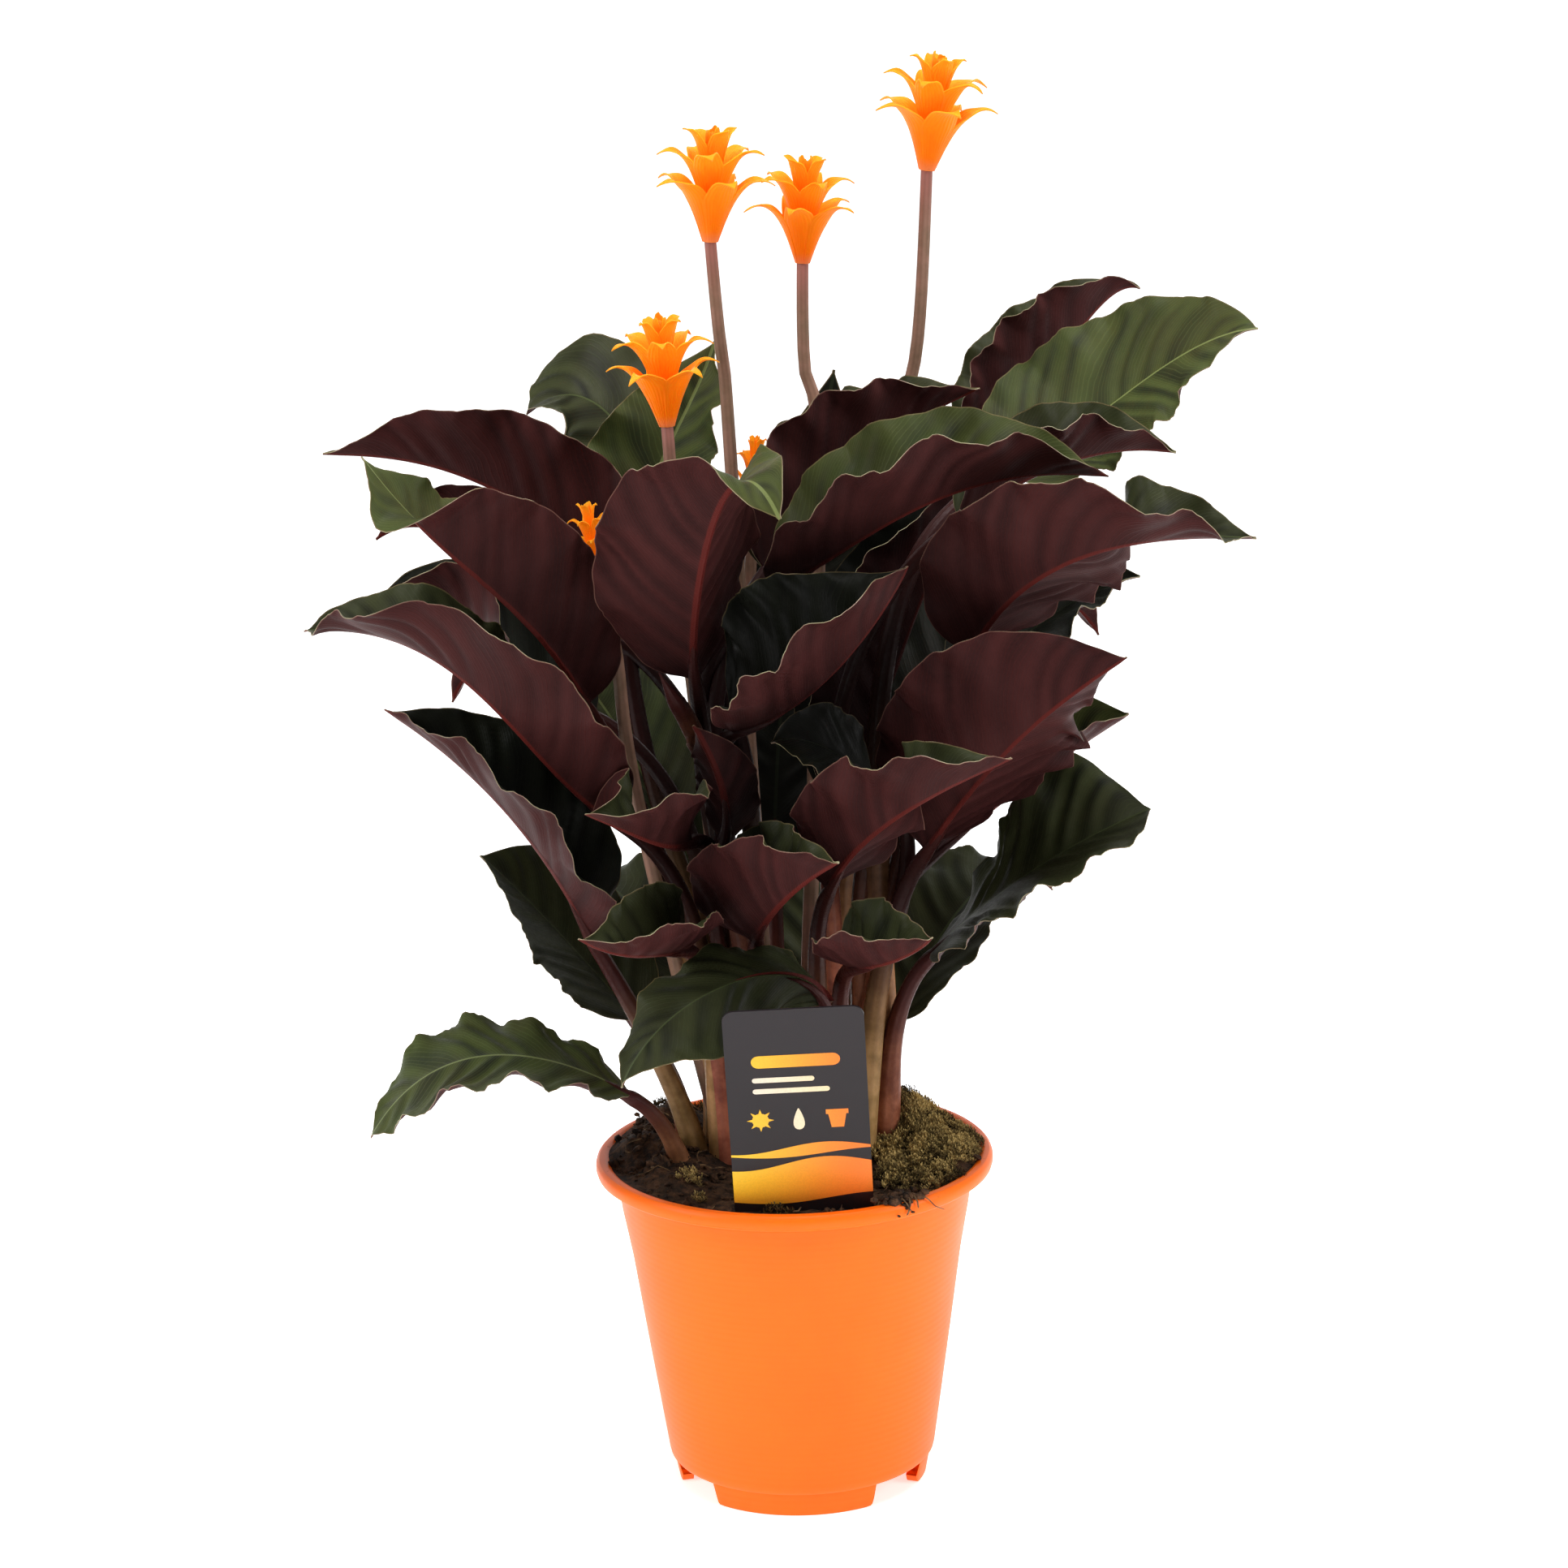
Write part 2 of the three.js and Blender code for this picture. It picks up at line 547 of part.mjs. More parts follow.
function leafSurface(leaf, spine) {
  const face = THREE.MathUtils.degToRad(leaf.face);
  const out = new THREE.Vector3(Math.cos(face), Math.sin(face), 0);
  const [height, count, phase] = leaf.wave;
  return (along, across) => {
    const side = across < 0 ? -1 : 1;
    const share = Math.abs(across);
    const heading = spine.getTangentAt(along);
    const left = UP.clone().cross(out);
    left.addScaledVector(heading, -left.dot(heading)).normalize();
    const over = heading.clone().cross(left);

    const lift = THREE.MathUtils.degToRad(between(side > 0 ? leaf.left : leaf.right, along));
    const curl = THREE.MathUtils.degToRad((leaf.curl ?? [0, 0])[side > 0 ? 0 : 1]);
    const turn = lift + curl * share;
    const level = curl ? (Math.sin(turn) - Math.sin(lift)) / curl : share * Math.cos(lift);
    const rise = curl ? (Math.cos(lift) - Math.cos(turn)) / curl : share * Math.sin(lift);

    const least = THREE.MathUtils.lerp(BLADE.neck, BLADE.tip, along);
    const half = Math.max((leaf.width / 2) * outline(along, leaf.wide), least);
    const start = phase + (side < 0 ? 0.35 : 0);
    const fade = Math.sqrt(Math.max(Math.sin(Math.PI * along), 0)) * share ** 2.5;
    const wave = height * fade * Math.sin(2 * Math.PI * (count * along + start));

    const point = spine.getPointAt(along);
    point.addScaledVector(left, side * (level * half - wave * Math.sin(turn)));
    return point.addScaledVector(over, rise * half + wave * Math.cos(turn));
  };
}

function leafBlade(leaf) {
  const spine = new Spine(leaf.rib);
  const wanted = Math.round(spine.getLength() / BLADE.step);
  const steps = THREE.MathUtils.clamp(wanted, BLADE.fewestSteps, BLADE.mostSteps);
  const rows = Array.from({ length: steps + 1 }, (_, row) => row / steps);
  const keel = (along) => THREE.MathUtils.lerp(BLADE.keelAtNeck, BLADE.keelAtTip, along);
  return sheet(leafSurface(leaf, spine), rows, BLADE.columns, BLADE.thickness, keel);
}

// ---------------------------------------------------------------- stems

// A stalk along a curve, tapering evenly, with a straight end down in the rootstock.
function stalk(curve, baseRadius, tipRadius, extra) {
  const steps = Math.max(Math.round(curve.getLength() / STALK.step), STALK.fewestSteps);
  const radii = Array.from({ length: steps + 1 }, (_, ring) => {
    return THREE.MathUtils.lerp(baseRadius, tipRadius, ring / steps) + extra;
  });
  const rings = barRings(curve, radii);
  const down = new THREE.Vector3(0, 0, -STALK.root);
  return skin([rings[0].map((point) => point.clone().add(down)), ...rings]);
}

function leafStalk(leaf, extra) {
  const spine = new Spine(leaf.rib);
  const heading = spine.getTangentAt(0);
  const foot = new THREE.Vector3(...leaf.foot, STALK.footHeight);
  const neck = spine.getPointAt(0);
  const way = neck.clone().sub(foot);
  const [low, high] = leaf.lean ?? STALK.lean;
  const rising = foot.clone().add(new THREE.Vector3(way.x * low, way.y * low, way.length() * 0.35));
  const arriving = neck.clone().addScaledVector(heading, -way.length() * high);
  const end = neck.clone().addScaledVector(heading, -GAP);
  const curve = new THREE.CubicBezierCurve3(foot, rising, arriving, end);
  const stout = STALK.baseRadius + leaf.width * STALK.radiusPerWidth;
  return stalk(curve, stout, STALK.tipRadius, extra);
}

function flowerStalk(flower, extra) {
  const curve = new Spine([[...flower.foot, STALK.footHeight], ...flower.path, flower.base]);
  return stalk(curve, FLOWER_STALK.baseRadius, FLOWER_STALK.tipRadius, extra);
}

// The rootstock, larger all round by what is extra, and straight up from its rim to a height.
function crown(extra, top) {
  const rings = [...CROWN.ends, [top, ...CROWN.ends[1].slice(1)]];
  const [x, y] = CROWN.centre;
  const levels = rings.map(([height, across, deep], level) => {
    return Array.from({ length: CROWN.sides }, (_, side) => {
      const angle = (side / CROWN.sides) * 2 * Math.PI;
      const right = x + (across + extra) * Math.cos(angle);
      const back = y + (deep + extra) * Math.sin(angle);
      return new THREE.Vector3(right, back, level === 0 ? height - extra : height);
    });
  });
  return skin(levels);
}

function stalks(extra) {
  const leafStalks = LEAVES.map((leaf) => leafStalk(leaf, extra));
  return join([...leafStalks, ...FLOWERS.map((flower) => flowerStalk(flower, extra))]);
}

function stems() {
  const shoot = skin(barRings(new Spine(SHOOT.path), SHOOT.radii));
  return toGeometry(largestBody(stalks(0).add(toSolid(crown(0, CROWN.top))).add(toSolid(shoot))));
}

// ---------------------------------------------------------------- blooms

function bloom(flower) {
  const shares = flower.small ? BLOOM.smallShares : BLOOM.shares;
  const columns = BLOOM.points * shares.length;
  const narrow = flower.small ? BLOOM.smallRadius : 1;
  const spin = THREE.MathUtils.degToRad(flower.spin);
  const ring = (radiusAt, heightAt) =>
    Array.from({ length: columns }, (_, column) => {
      const angle = spin + (column / columns) * 2 * Math.PI;
      const radius = radiusAt(column) * narrow;
      return new THREE.Vector3(radius * Math.cos(angle), radius * Math.sin(angle), heightAt(column));
    });
  const level = ([radius, height]) => ring(() => radius, () => height);
  const rings = BLOOM.stem.map(level);
  for (const { neck, bend, point, valley, turn } of BLOOM.tiers) {
    const share = (column) => shares[(column + turn * shares.length) % shares.length];
    const rim = (part) => (column) => THREE.MathUtils.lerp(valley[part], point[part], share(column));
    const mid = (part) => (column) => {
      const reach = THREE.MathUtils.lerp(valley[part], bend[part], Math.min(2 * share(column), 1));
      return THREE.MathUtils.lerp(neck[part], reach, 0.8);
    };
    rings.push(level(neck));
    rings.push(ring(mid(0), mid(1)));
    rings.push(ring(rim(0), rim(1)));
    rings.push(ring(mid(0), (column) => mid(1)(column) + BLOOM.thickness));
  }
  rings.push(level([0.8, BLOOM.apex]));
  return skin(rings);
}

// ---------------------------------------------------------------- label and soil

// The label, standing on the origin with its face towards -Y, and larger all round by what is extra.
function labelPlate(extra) {
  const half = LABEL.width / 2 + extra;
  const top = LABEL.showing + extra;
  const shape = new THREE.Shape();
  shape.moveTo(0, -LABEL.buried - extra);
  shape.lineTo(half, -LABEL.shoulder);
  shape.lineTo(half, top - LABEL.corner);
  shape.quadraticCurveTo(half, top, half - LABEL.corner, top);
  shape.lineTo(LABEL.corner - half, top);
  shape.quadraticCurveTo(-half, top, -half, top - LABEL.corner);
  shape.lineTo(-half, -LABEL.shoulder);
  shape.closePath();
  const depth = LABEL.thickness + 2 * extra;
  const plate = new THREE.ExtrudeGeometry(shape, { depth, bevelEnabled: false, curveSegments: 4 });
  plate.translate(0, 0, -depth / 2);
  plate.rotateZ(THREE.MathUtils.degToRad(LABEL.roll));
  return plate.rotateX(THREE.MathUtils.degToRad(90 + LABEL.lean));
}

function soil() {
  const wallFoot = POT.floorHeight + 3;
  const bandFoot = POT.height - POT.lipHeight - POT.bandDepth;
  const inside = POT.wall + GAP;
  const ball = turned([
    [0, POT.floorHeight + POT.wall + GAP],
    [POT.baseRadius - 3 - GAP, POT.floorHeight + POT.wall + GAP],
    [POT.baseRadius - inside, wallFoot + GAP],
    [POT.bandRadius - inside, bandFoot],
    [POT.topRadius - inside - 0.4, SOIL.level - 3],
    [56, SOIL.level],
    [42, SOIL.level],
    [26, SOIL.level],
    [0, SOIL.level],
  ]);
  const position = ball.attributes.position;
  for (let i = 0; i < position.count; i += 1) {
    const [x, y, z] = [position.getX(i), position.getY(i), position.getZ(i)];
    if (z >= SOIL.level - 0.01) {
      const lifts = SOIL.mounds.map(({ at, spread, rise }) => {
        const away = Math.hypot(x - at[0], y - at[1]) / spread;
        return rise * Math.exp(-away * away);
      });
      position.setZ(i, z + lifts.reduce((sum, lift) => sum + lift, 0));
    }
  }
  const crownHole = toSolid(crown(GAP, POT.height + 20));
  const labelHole = toSolid(labelPlate(GAP).translate(...LABEL.foot));
  const pierced = toSolid(ball).subtract(crownHole).subtract(stalks(GAP)).subtract(labelHole);
  return toGeometry(largestBody(pierced));
}

// ---------------------------------------------------------------- the object

const plant = new THREE.Group();

function place(name, geometry, finish) {
  const material = new THREE.MeshStandardMaterial({ ...finish, metalness: 0 });
  const mesh = new THREE.Mesh(geometry, material);
  mesh.name = name;
  plant.add(mesh);
  return mesh;
}

place("pot", pot(), COLOURS.pot);
place("soil", soil(), COLOURS.soil);
place("label", labelPlate(0), COLOURS.label).position.set(...LABEL.foot);
place("stems", stems(), COLOURS.stems);

for (const leaf of LEAVES) {
  place(leaf.name, leafBlade(leaf), COLOURS.leaf);
}

for (const flower of FLOWERS) {
  const base = new THREE.Vector3(...flower.base);
  const axis = new THREE.Vector3(...flower.tip).sub(base);
  const mesh = place(flower.name, bloom(flower), COLOURS.bloom);
  mesh.scale.setScalar((axis.length() - GAP) / BLOOM.height);
  mesh.quaternion.setFromUnitVectors(UP, axis.normalize());
  mesh.position.copy(base).addScaledVector(axis, GAP);
}

export default plant;
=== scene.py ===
"""An eternal flame calathea (Calathea crocata) in flower, in its nursery pot.

Every length in the tables is in millimetres, as a grower would give it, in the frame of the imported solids:
+Z up, the plant's front towards -Y, the origin in the middle of the pot's footprint.
"""

import math
import random
from dataclasses import dataclass

import bpy
import numpy as np
from bpy.props import FloatProperty, FloatVectorProperty, IntProperty, PointerProperty
from mathutils import Matrix, Vector, noise


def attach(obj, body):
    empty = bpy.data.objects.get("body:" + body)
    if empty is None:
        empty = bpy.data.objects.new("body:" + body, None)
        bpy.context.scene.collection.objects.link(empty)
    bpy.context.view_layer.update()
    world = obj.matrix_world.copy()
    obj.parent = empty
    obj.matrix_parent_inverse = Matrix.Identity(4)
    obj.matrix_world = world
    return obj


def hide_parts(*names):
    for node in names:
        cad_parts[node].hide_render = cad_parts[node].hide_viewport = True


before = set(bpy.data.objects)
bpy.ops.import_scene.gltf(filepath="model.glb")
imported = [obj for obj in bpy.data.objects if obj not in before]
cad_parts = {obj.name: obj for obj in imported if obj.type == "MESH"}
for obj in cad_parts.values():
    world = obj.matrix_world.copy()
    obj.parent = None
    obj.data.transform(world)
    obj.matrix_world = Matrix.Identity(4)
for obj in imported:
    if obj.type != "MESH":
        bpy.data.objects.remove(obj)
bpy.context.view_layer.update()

bl_info = {
    "name": "Eternal flame calathea",
    "version": (1, 0, 0),
    "blender": (4, 5, 0),
    "location": "View3D > Sidebar > Calathea",
    "description": "Builds a flowering calathea in its nursery pot around its packed solids",
    "category": "Add Mesh",
}

MM = 0.001

# ------------------------------------------------------------------ sizes of the plant and its pot, in mm


@dataclass
class Leaf:
    """A leaf: four evenly spaced points of its rib, the compass direction it faces, in degrees from +X, the
    angles that its halves are lifted by from stalk to tip, and how much further they curl up by the margin.
    The wave is the height, number and start of the margin's waves, wide is where the blade is broadest and
    foot is where its stalk enters the rootstock. Green picks the lit, half-lit or shaded copy of the upper
    side, painted light and shade for where the leaf sits, and lean shapes the two bends of the stalk."""

    name: str
    rib: list
    face: float
    width: float
    left: list
    right: list
    wave: tuple
    wide: float
    foot: tuple
    green: str
    curl: tuple = (0, 0)
    lean: tuple = (0.1, 0.35)


LEAVES = [
    Leaf("left_long", [(-45, 12, 320), (-86, 20, 350), (-120, 22, 365), (-155, 18, 370)],
         left=[80, 76, 66, 60], right=[0, 0, 0, 0], curl=(10, 0),
         face=180, width=64, wave=(2.6, 4, 0.1), wide=0.42, foot=(-20, 14), green="mid"),
    Leaf("left_back", [(-64, 40, 302), (-95, 46, 322), (-119, 46, 337), (-140, 40, 335)],
         left=[70, 74, 70], right=[0, 0, 0], curl=(15, 0),
         face=180, width=54, wave=(2.4, 4, 0.3), wide=0.44, foot=(-24, 22), green="mid"),
    Leaf("left_broad", [(-66, -15, 288), (-87, -38, 324), (-111, -50, 351), (-136, -48, 381)],
         left=[82, 86, 88, 88, 86, 70, -50, -65], right=[8, 8, 8, 10, 15, 30, 45, 60], curl=(10, 0),
         face=190, width=70, wave=(2.8, 5, 0.6), wide=0.44, foot=(-20, -2), green="light"),
    Leaf("left_dark", [(-65, 18, 276), (-90, 18, 297), (-112, 14, 316), (-137, 6, 322)],
         left=[0, 0, 10, 75, 70], right=[45, 45, 50, 50, 50],
         face=180, width=54, wave=(2.4, 4, 0.2), wide=0.42, foot=(-26, 6), green="dark"),
    Leaf("left_low", [(-57, -22, 248), (-84, -42, 280), (-114, -42, 310), (-162, -4, 313)],
         left=[72, 60, 48, 25, 12], right=[32, 28, 25, 50, 75], curl=(10, 0),
         face=182, width=64, wave=(3.2, 5, 0.2), wide=0.42, foot=(-24, -8), green="mid"),
    Leaf("left_lower", [(-68, -14, 206), (-84, -28, 240), (-106, -28, 267), (-135, -18, 288)],
         left=[44, 28, 28, 34], right=[62, 62, 66, 75],
         face=180, width=62, wave=(2.8, 4, 0.4), wide=0.42, foot=(-30, -4), green="dark"),
    Leaf("left_shaded", [(-54, 10, 166), (-71, 20, 184), (-90, 22, 206), (-107, 16, 226)],
         left=[-20, -12, -8, 0], right=[45, 45, 45, 45],
         face=180, width=64, wave=(1.0, 3, 0.1), wide=0.5, foot=(-34, 4), green="mid"),
    Leaf("bottom_left", [(-57, -25, 151), (-85, -32, 166), (-117, -34, 166), (-146, -30, 139)],
         left=[-25, -25, -30, -45], right=[15, 15, 18, 18], curl=(45, 0),
         face=180, width=50, wave=(2.6, 5, 0.2), wide=0.62, foot=(-36, -12), green="light"),
    Leaf("bottom_front", [(13, -39, 185), (-5, -52, 200), (-34, -64, 194), (-57, -80, 171)],
         left=[-105, -98, -68, -25], right=[8, 12, 14, 12],
         face=195, width=50, wave=(2.4, 4, 0.2), wide=0.45, foot=(14, -12), green="mid"),
    Leaf("front_upright", [(-29, -30, 299), (-26, -56, 337), (-15, -84, 373), (1, -102, 367)],
         left=[50, 60, 60, 20], right=[10, 15, 20, 20],
         face=270, width=74, wave=(3.0, 4, 0.4), wide=0.42, foot=(-12, -2), green="light"),
    Leaf("back_upright", [(-52, 45, 321), (-44, 54, 348), (-31, 62, 373), (-20, 68, 397)],
         left=[6, 10, 15, 15], right=[38, 44, 50, 50],
         face=90, width=52, wave=(2.8, 4, 0.1), wide=0.34, foot=(-10, 18), green="light"),
    Leaf("back_left_high", [(-45, 74, 344), (-58, 84, 368), (-73, 87, 376), (-88, 84, 370)],
         left=[-20, -20, -20, -20], right=[32, 34, 36, 36],
         face=150, width=58, wave=(2.0, 4, 0.2), wide=0.62, foot=(-16, 24), green="mid"),
    Leaf("upper_centre", [(-5, 8, 328), (15, 20, 350), (40, 28, 369), (71, 26, 385)],
         left=[82, 56, 44, 40], right=[76, 74, 66, 58],
         face=0, width=62, wave=(3.0, 5, 0.2), wide=0.42, foot=(-2, 8), green="mid"),
    Leaf("centre_right", [(-1, -15, 326), (31, -28, 347), (66, -34, 363), (111, -30, 364)],
         left=[66, 68, 68, 66], right=[50, 46, 48, 54],
         face=0, width=66, wave=(3.4, 5, 0.0), wide=0.42, foot=(2, 0), green="light"),
    Leaf("top_right", [(78, 30, 353), (108, 46, 367), (138, 43, 389), (166, 20, 404)],
         left=[48, 48, 40, 25], right=[-12, -12, -14, -10],
         face=8, width=74, wave=(2.2, 5, 0.1), wide=0.34, foot=(33, 10), green="light"),
    Leaf("behind_top", [(72, 70, 349), (95, 79, 377), (115, 84, 402), (131, 84, 409)],
         left=[55, 50, 40, 30], right=[72, 70, 66, 60], curl=(10, 0),
         face=8, width=62, wave=(2.6, 5, 0.3), wide=0.42, foot=(14, 24), green="mid"),
    Leaf("right_dark", [(62, -6, 346), (90, -2, 361), (115, 0, 367), (136, -2, 366)],
         left=[62, 66, 68, 64], right=[50, 50, 50, 55],
         face=0, width=46, wave=(2.8, 4, 0.3), wide=0.45, foot=(18, 6), green="mid"),
    Leaf("right_big", [(64, -20, 302), (86, -48, 334), (118, -62, 348), (158, -52, 346)],
         left=[-32, -32, -30, 62, 85], right=[85, 84, 74, 36, 0],
         face=345, width=72, wave=(3.2, 6, 0.2), wide=0.32, foot=(20, -6), green="mid"),
    Leaf("right_middle", [(61, 12, 283), (86, 18, 300), (107, 20, 313), (125, 18, 319)],
         left=[50, 50, 48, 45], right=[0, 0, 0, 0],
         face=0, width=60, wave=(2.6, 4, 0.2), wide=0.45, foot=(26, 4), green="dark"),
    Leaf("right_lower", [(48, -22, 235), (68, -52, 269), (88, -62, 291), (115, -52, 307)],
         left=[-28, -28, -26, -20], right=[85, 86, 84, 80], curl=(10, 0),
         face=340, width=86, wave=(3.0, 6, 0.5), wide=0.5, foot=(22, -10), green="dark"),
    Leaf("right_behind", [(52, 14, 224), (78, 22, 241), (101, 25, 256), (121, 23, 269)],
         left=[74, 64, 52, 45], right=[30, 32, 30, 26],
         face=0, width=72, wave=(2.0, 4, 0.2), wide=0.56, foot=(28, 2), green="light"),
    Leaf("right_low", [(50, -8, 194), (74, -20, 218), (99, -24, 235), (125, -20, 246)],
         left=[0, 22, 55, 58], right=[-5, -3, -3, 0],
         face=350, width=70, wave=(2.2, 5, 0.1), wide=0.78, foot=(32, -4), green="mid"),
    Leaf("front_right", [(14, -36, 226), (28, -64, 251), (49, -80, 269), (75, -78, 280)],
         left=[-20, -10, 20, 80, 85], right=[80, 80, 72, 44, 25],
         face=330, width=58, wave=(3.4, 5, 0.2), wide=0.42, foot=(14, -8), green="mid"),
    Leaf("front_small", [(-11, -28, 206), (-6, -51, 221), (4, -74, 237), (17, -92, 250)],
         left=[88, 86, 80, 70], right=[42, 55, 62, 60],
         face=300, width=66, wave=(2.6, 4, 0.2), wide=0.3, foot=(-2, -14), green="mid"),
    Leaf("centre_small", [(-33, -30, 242), (-42, -50, 247), (-53, -66, 256), (-66, -70, 263)],
         left=[80, 75, 60, 30], right=[0, 0, 50, 80],
         face=200, width=56, wave=(2.4, 3, 0.2), wide=0.42, foot=(-18, -6), green="mid"),
    Leaf("centre_young", [(-21, -26, 241), (-20, -34, 256), (-24, -39, 272), (-30, -41, 285)],
         left=[40, 40, 40, 40], right=[40, 42, 45, 50],
         face=260, width=28, wave=(1.2, 3, 0.2), wide=0.42, foot=(-10, -6), green="mid"),
    Leaf("low_curled", [(-36, -30, 204), (-45, -56, 210), (-56, -78, 217), (-69, -90, 226)],
         left=[45, 45, 45, 40], right=[90, 86, 70, 60],
         face=215, width=52, wave=(1.6, 3, 0.2), wide=0.36, foot=(-22, -10), green="mid"),
    Leaf("right_curled", [(22, -50, 202), (31, -74, 210), (40, -90, 218), (47, -100, 226)],
         left=[95, 84, 70, 60], right=[40, 45, 50, 50],
         face=330, width=48, wave=(1.4, 3, 0.2), wide=0.36, foot=(20, -16), green="mid"),
    Leaf("centre_dark", [(-16, -28, 280), (10, -42, 296), (30, -50, 319), (43, -48, 339)],
         left=[88, 88, 85, 70], right=[28, 30, 32, 34],
         face=355, width=86, wave=(3.0, 4, 0.2), wide=0.45, foot=(-4, -4), lean=(0.1, 0.12), green="dark"),
    Leaf("centre_tip", [(30, -22, 261), (18, -30, 271), (7, -34, 277), (-4, -36, 277)],
         left=[-30, -30, -30, -30], right=[50, 50, 50, 50],
         face=190, width=38, wave=(1.4, 3, 0.2), wide=0.45, foot=(8, -4), green="dark"),
    Leaf("centre_back", [(22, 12, 240), (37, 20, 282), (54, 28, 322), (72, 30, 356)],
         left=[70, 70, 70, 65], right=[72, 72, 66, 58],
         face=10, width=70, wave=(2.0, 4, 0.3), wide=0.45, foot=(8, 6), green="dark"),
    Leaf("back_left", [(-36, 30, 212), (-66, 64, 270), (-96, 88, 286), (-120, 98, 262)],
         left=[20, 20, 20, 20], right=[20, 20, 20, 20],
         face=140, width=58, wave=(2.2, 4, 0.3), wide=0.45, foot=(-20, 20), green="light"),
    Leaf("back_centre", [(-4, 58, 215), (2, 74, 280), (12, 84, 335), (22, 90, 382)],
         left=[14, 14, 14, 14], right=[14, 14, 14, 14],
         face=90, width=60, wave=(2.0, 4, 0.5), wide=0.45, foot=(-4, 24), green="dark"),
    Leaf("back_right", [(43, 49, 236), (68, 75, 288), (94, 92, 300), (116, 100, 280)],
         left=[20, 20, 20, 20], right=[20, 20, 20, 20],
         face=40, width=54, wave=(2.2, 4, 0.1), wide=0.45, foot=(16, 20), green="dark"),
    Leaf("back_right_low", [(38, 28, 158), (62, 56, 190), (82, 82, 196), (98, 100, 184)],
         left=[18, 18, 18, 18], right=[18, 18, 18, 18],
         face=50, width=54, wave=(2.0, 4, 0.4), wide=0.45, foot=(24, 20), green="mid"),
    Leaf("back_left_low", [(-34, 36, 158), (-52, 62, 188), (-70, 84, 196), (-84, 100, 182)],
         left=[18, 18, 18, 18], right=[18, 18, 18, 18],
         face=125, width=50, wave=(2.0, 4, 0.2), wide=0.45, foot=(-28, 14), green="mid"),
    Leaf("back_low", [(11, 57, 156), (14, 74, 188), (16, 90, 198), (18, 104, 184)],
         left=[18, 18, 18, 18], right=[18, 18, 18, 18],
         face=86, width=44, wave=(2.0, 4, 0.0), wide=0.45, foot=(10, 28), green="mid"),
]


@dataclass
class Flower:
    """A flower head from the end of its stalk to its tip, the two points that its stalk passes, and how far
    it is turned. A small one has only just opened."""

    name: str
    base: tuple
    tip: tuple
    path: list
    foot: tuple
    spin: float
    small: bool = False


FLOWERS = [
    Flower("front_tall", (-20, 28, 438), (-18, 28, 477), [(-15, 32, 353), (-17, 32, 397)], (-6, 10), 8),
    Flower("middle", (11.5, 54, 426), (13.5, 54, 463), [(15, 44, 343), (13, 52, 382)], (2, 8), 40),
    Flower("highest", (55.5, 62, 456), (61, 62, 496), [(38, 60, 333), (49, 64, 384)], (10, 16), 0),
    Flower("left", (-36, -10, 381.5), (-37.5, -10, 419), [(-34, 2, 330), (-36, -6, 360)], (-14, 0), 25),
    Flower("small_left", (-61, -14, 330), (-64, -14, 357), [(-50, -4, 246), (-55, -12, 294)], (-20, 6), 60,
           small=True),
    Flower("small_back", (-9, 52, 336), (-6, 52, 366), [(-13, 30, 236), (-12, 44, 291)], (-4, 14), 15,
           small=True),
]

# The flower head's own height, the core that its bracts stand round, as radius and height, and its tiers of
# bracts: a curve of radius and height from foot to point, half the angle that a bract's foot wraps, where it
# comes free of the funnel, half its width there, how many there are and the turn between tiers.
BLOOM_HEIGHT = 39
CORE = [
    (0, -0.6), (2.1, 0), (3.4, 5.5), (4.6, 10.5), (5.2, 15), (5.0, 19),
    (4.6, 23), (3.8, 27), (3, 31), (2.1, 35), (1.4, 37), (0, 37.4),
]
TIERS = [
    {"path": [(2.3, 0), (5.0, 7.5), (10.5, 27), (22, 19.3)],
     "wrap": 0.72, "free": 0.42, "arm": 6.4, "count": 5, "turn": 0},
    {"path": [(2.0, 7), (4.6, 18), (8.5, 36), (20, 29.3)],
     "wrap": 0.74, "free": 0.45, "arm": 5.8, "count": 5, "turn": 0.5},
    {"path": [(1.8, 17), (3.4, 27), (5, 39.5), (10, 37.3)],
     "wrap": 0.9, "free": 0.5, "arm": 4.0, "count": 4, "turn": 0.2},
    {"path": [(1.2, 26), (2.2, 33), (2.6, 37.5), (1.8, 39)],
     "wrap": 1.15, "free": 0.35, "arm": 2.4, "count": 3, "turn": 0.6},
]
BRACT = {"along": 26, "across": 10, "wall": 0.4, "cup": 0.9, "ruffle": 0.5}
SMALL_BLOOM = 0.55  # how narrow a bloom is that has only just opened

BLADE = {
    "neck": 2.2,  # half the width where the stalk meets the blade
    "tip": 0.5,
    "wall": 0.45,
    "margin_wall": 0.22,
    "keel_at_neck": 2.0,  # how far the midrib stands out below
    "keel_at_tip": 0.3,
    "keel_width": 1.15,
    "gutter": 2.0,  # radius of the fold along the midrib
    "spacing": 11.5,  # between the pleats along the side veins
    "slant": 0.85,  # how far a side vein runs forward for each unit out
    "arch": 1.25,
}

STALK = {
    "foot_height": 100,
    "root": 10,
    "base_radius": 2.8,
    "radius_per_width": 1 / 40,
    "tip_radius": 2.2,
    "rings": 44,
    "sides": 14,
    "run_out": [3, 7, 12, 18, 24],  # mm past the neck, where the stalk fades into the midrib
    "run_out_below": [0.9, 1.0, 1.0, 0.8, 0.6],
    "run_out_radii": [2.1, 1.75, 1.3, 0.8, 0.0],
}
FLOWER_STALK = {"base_radius": 3.0, "tip_radius": 2.05}
SHOOT = {
    "path": [(-28, -13, 266), (-31, -25, 280), (-36, -36, 293), (-41, -40, 304)],
    "radii": [2.4, 3.4, 2.9, 0.3],
    "steps": 40,
    "sides": 24,
}

POT = {"wall": 1.3, "floor": 8, "sides": 144}
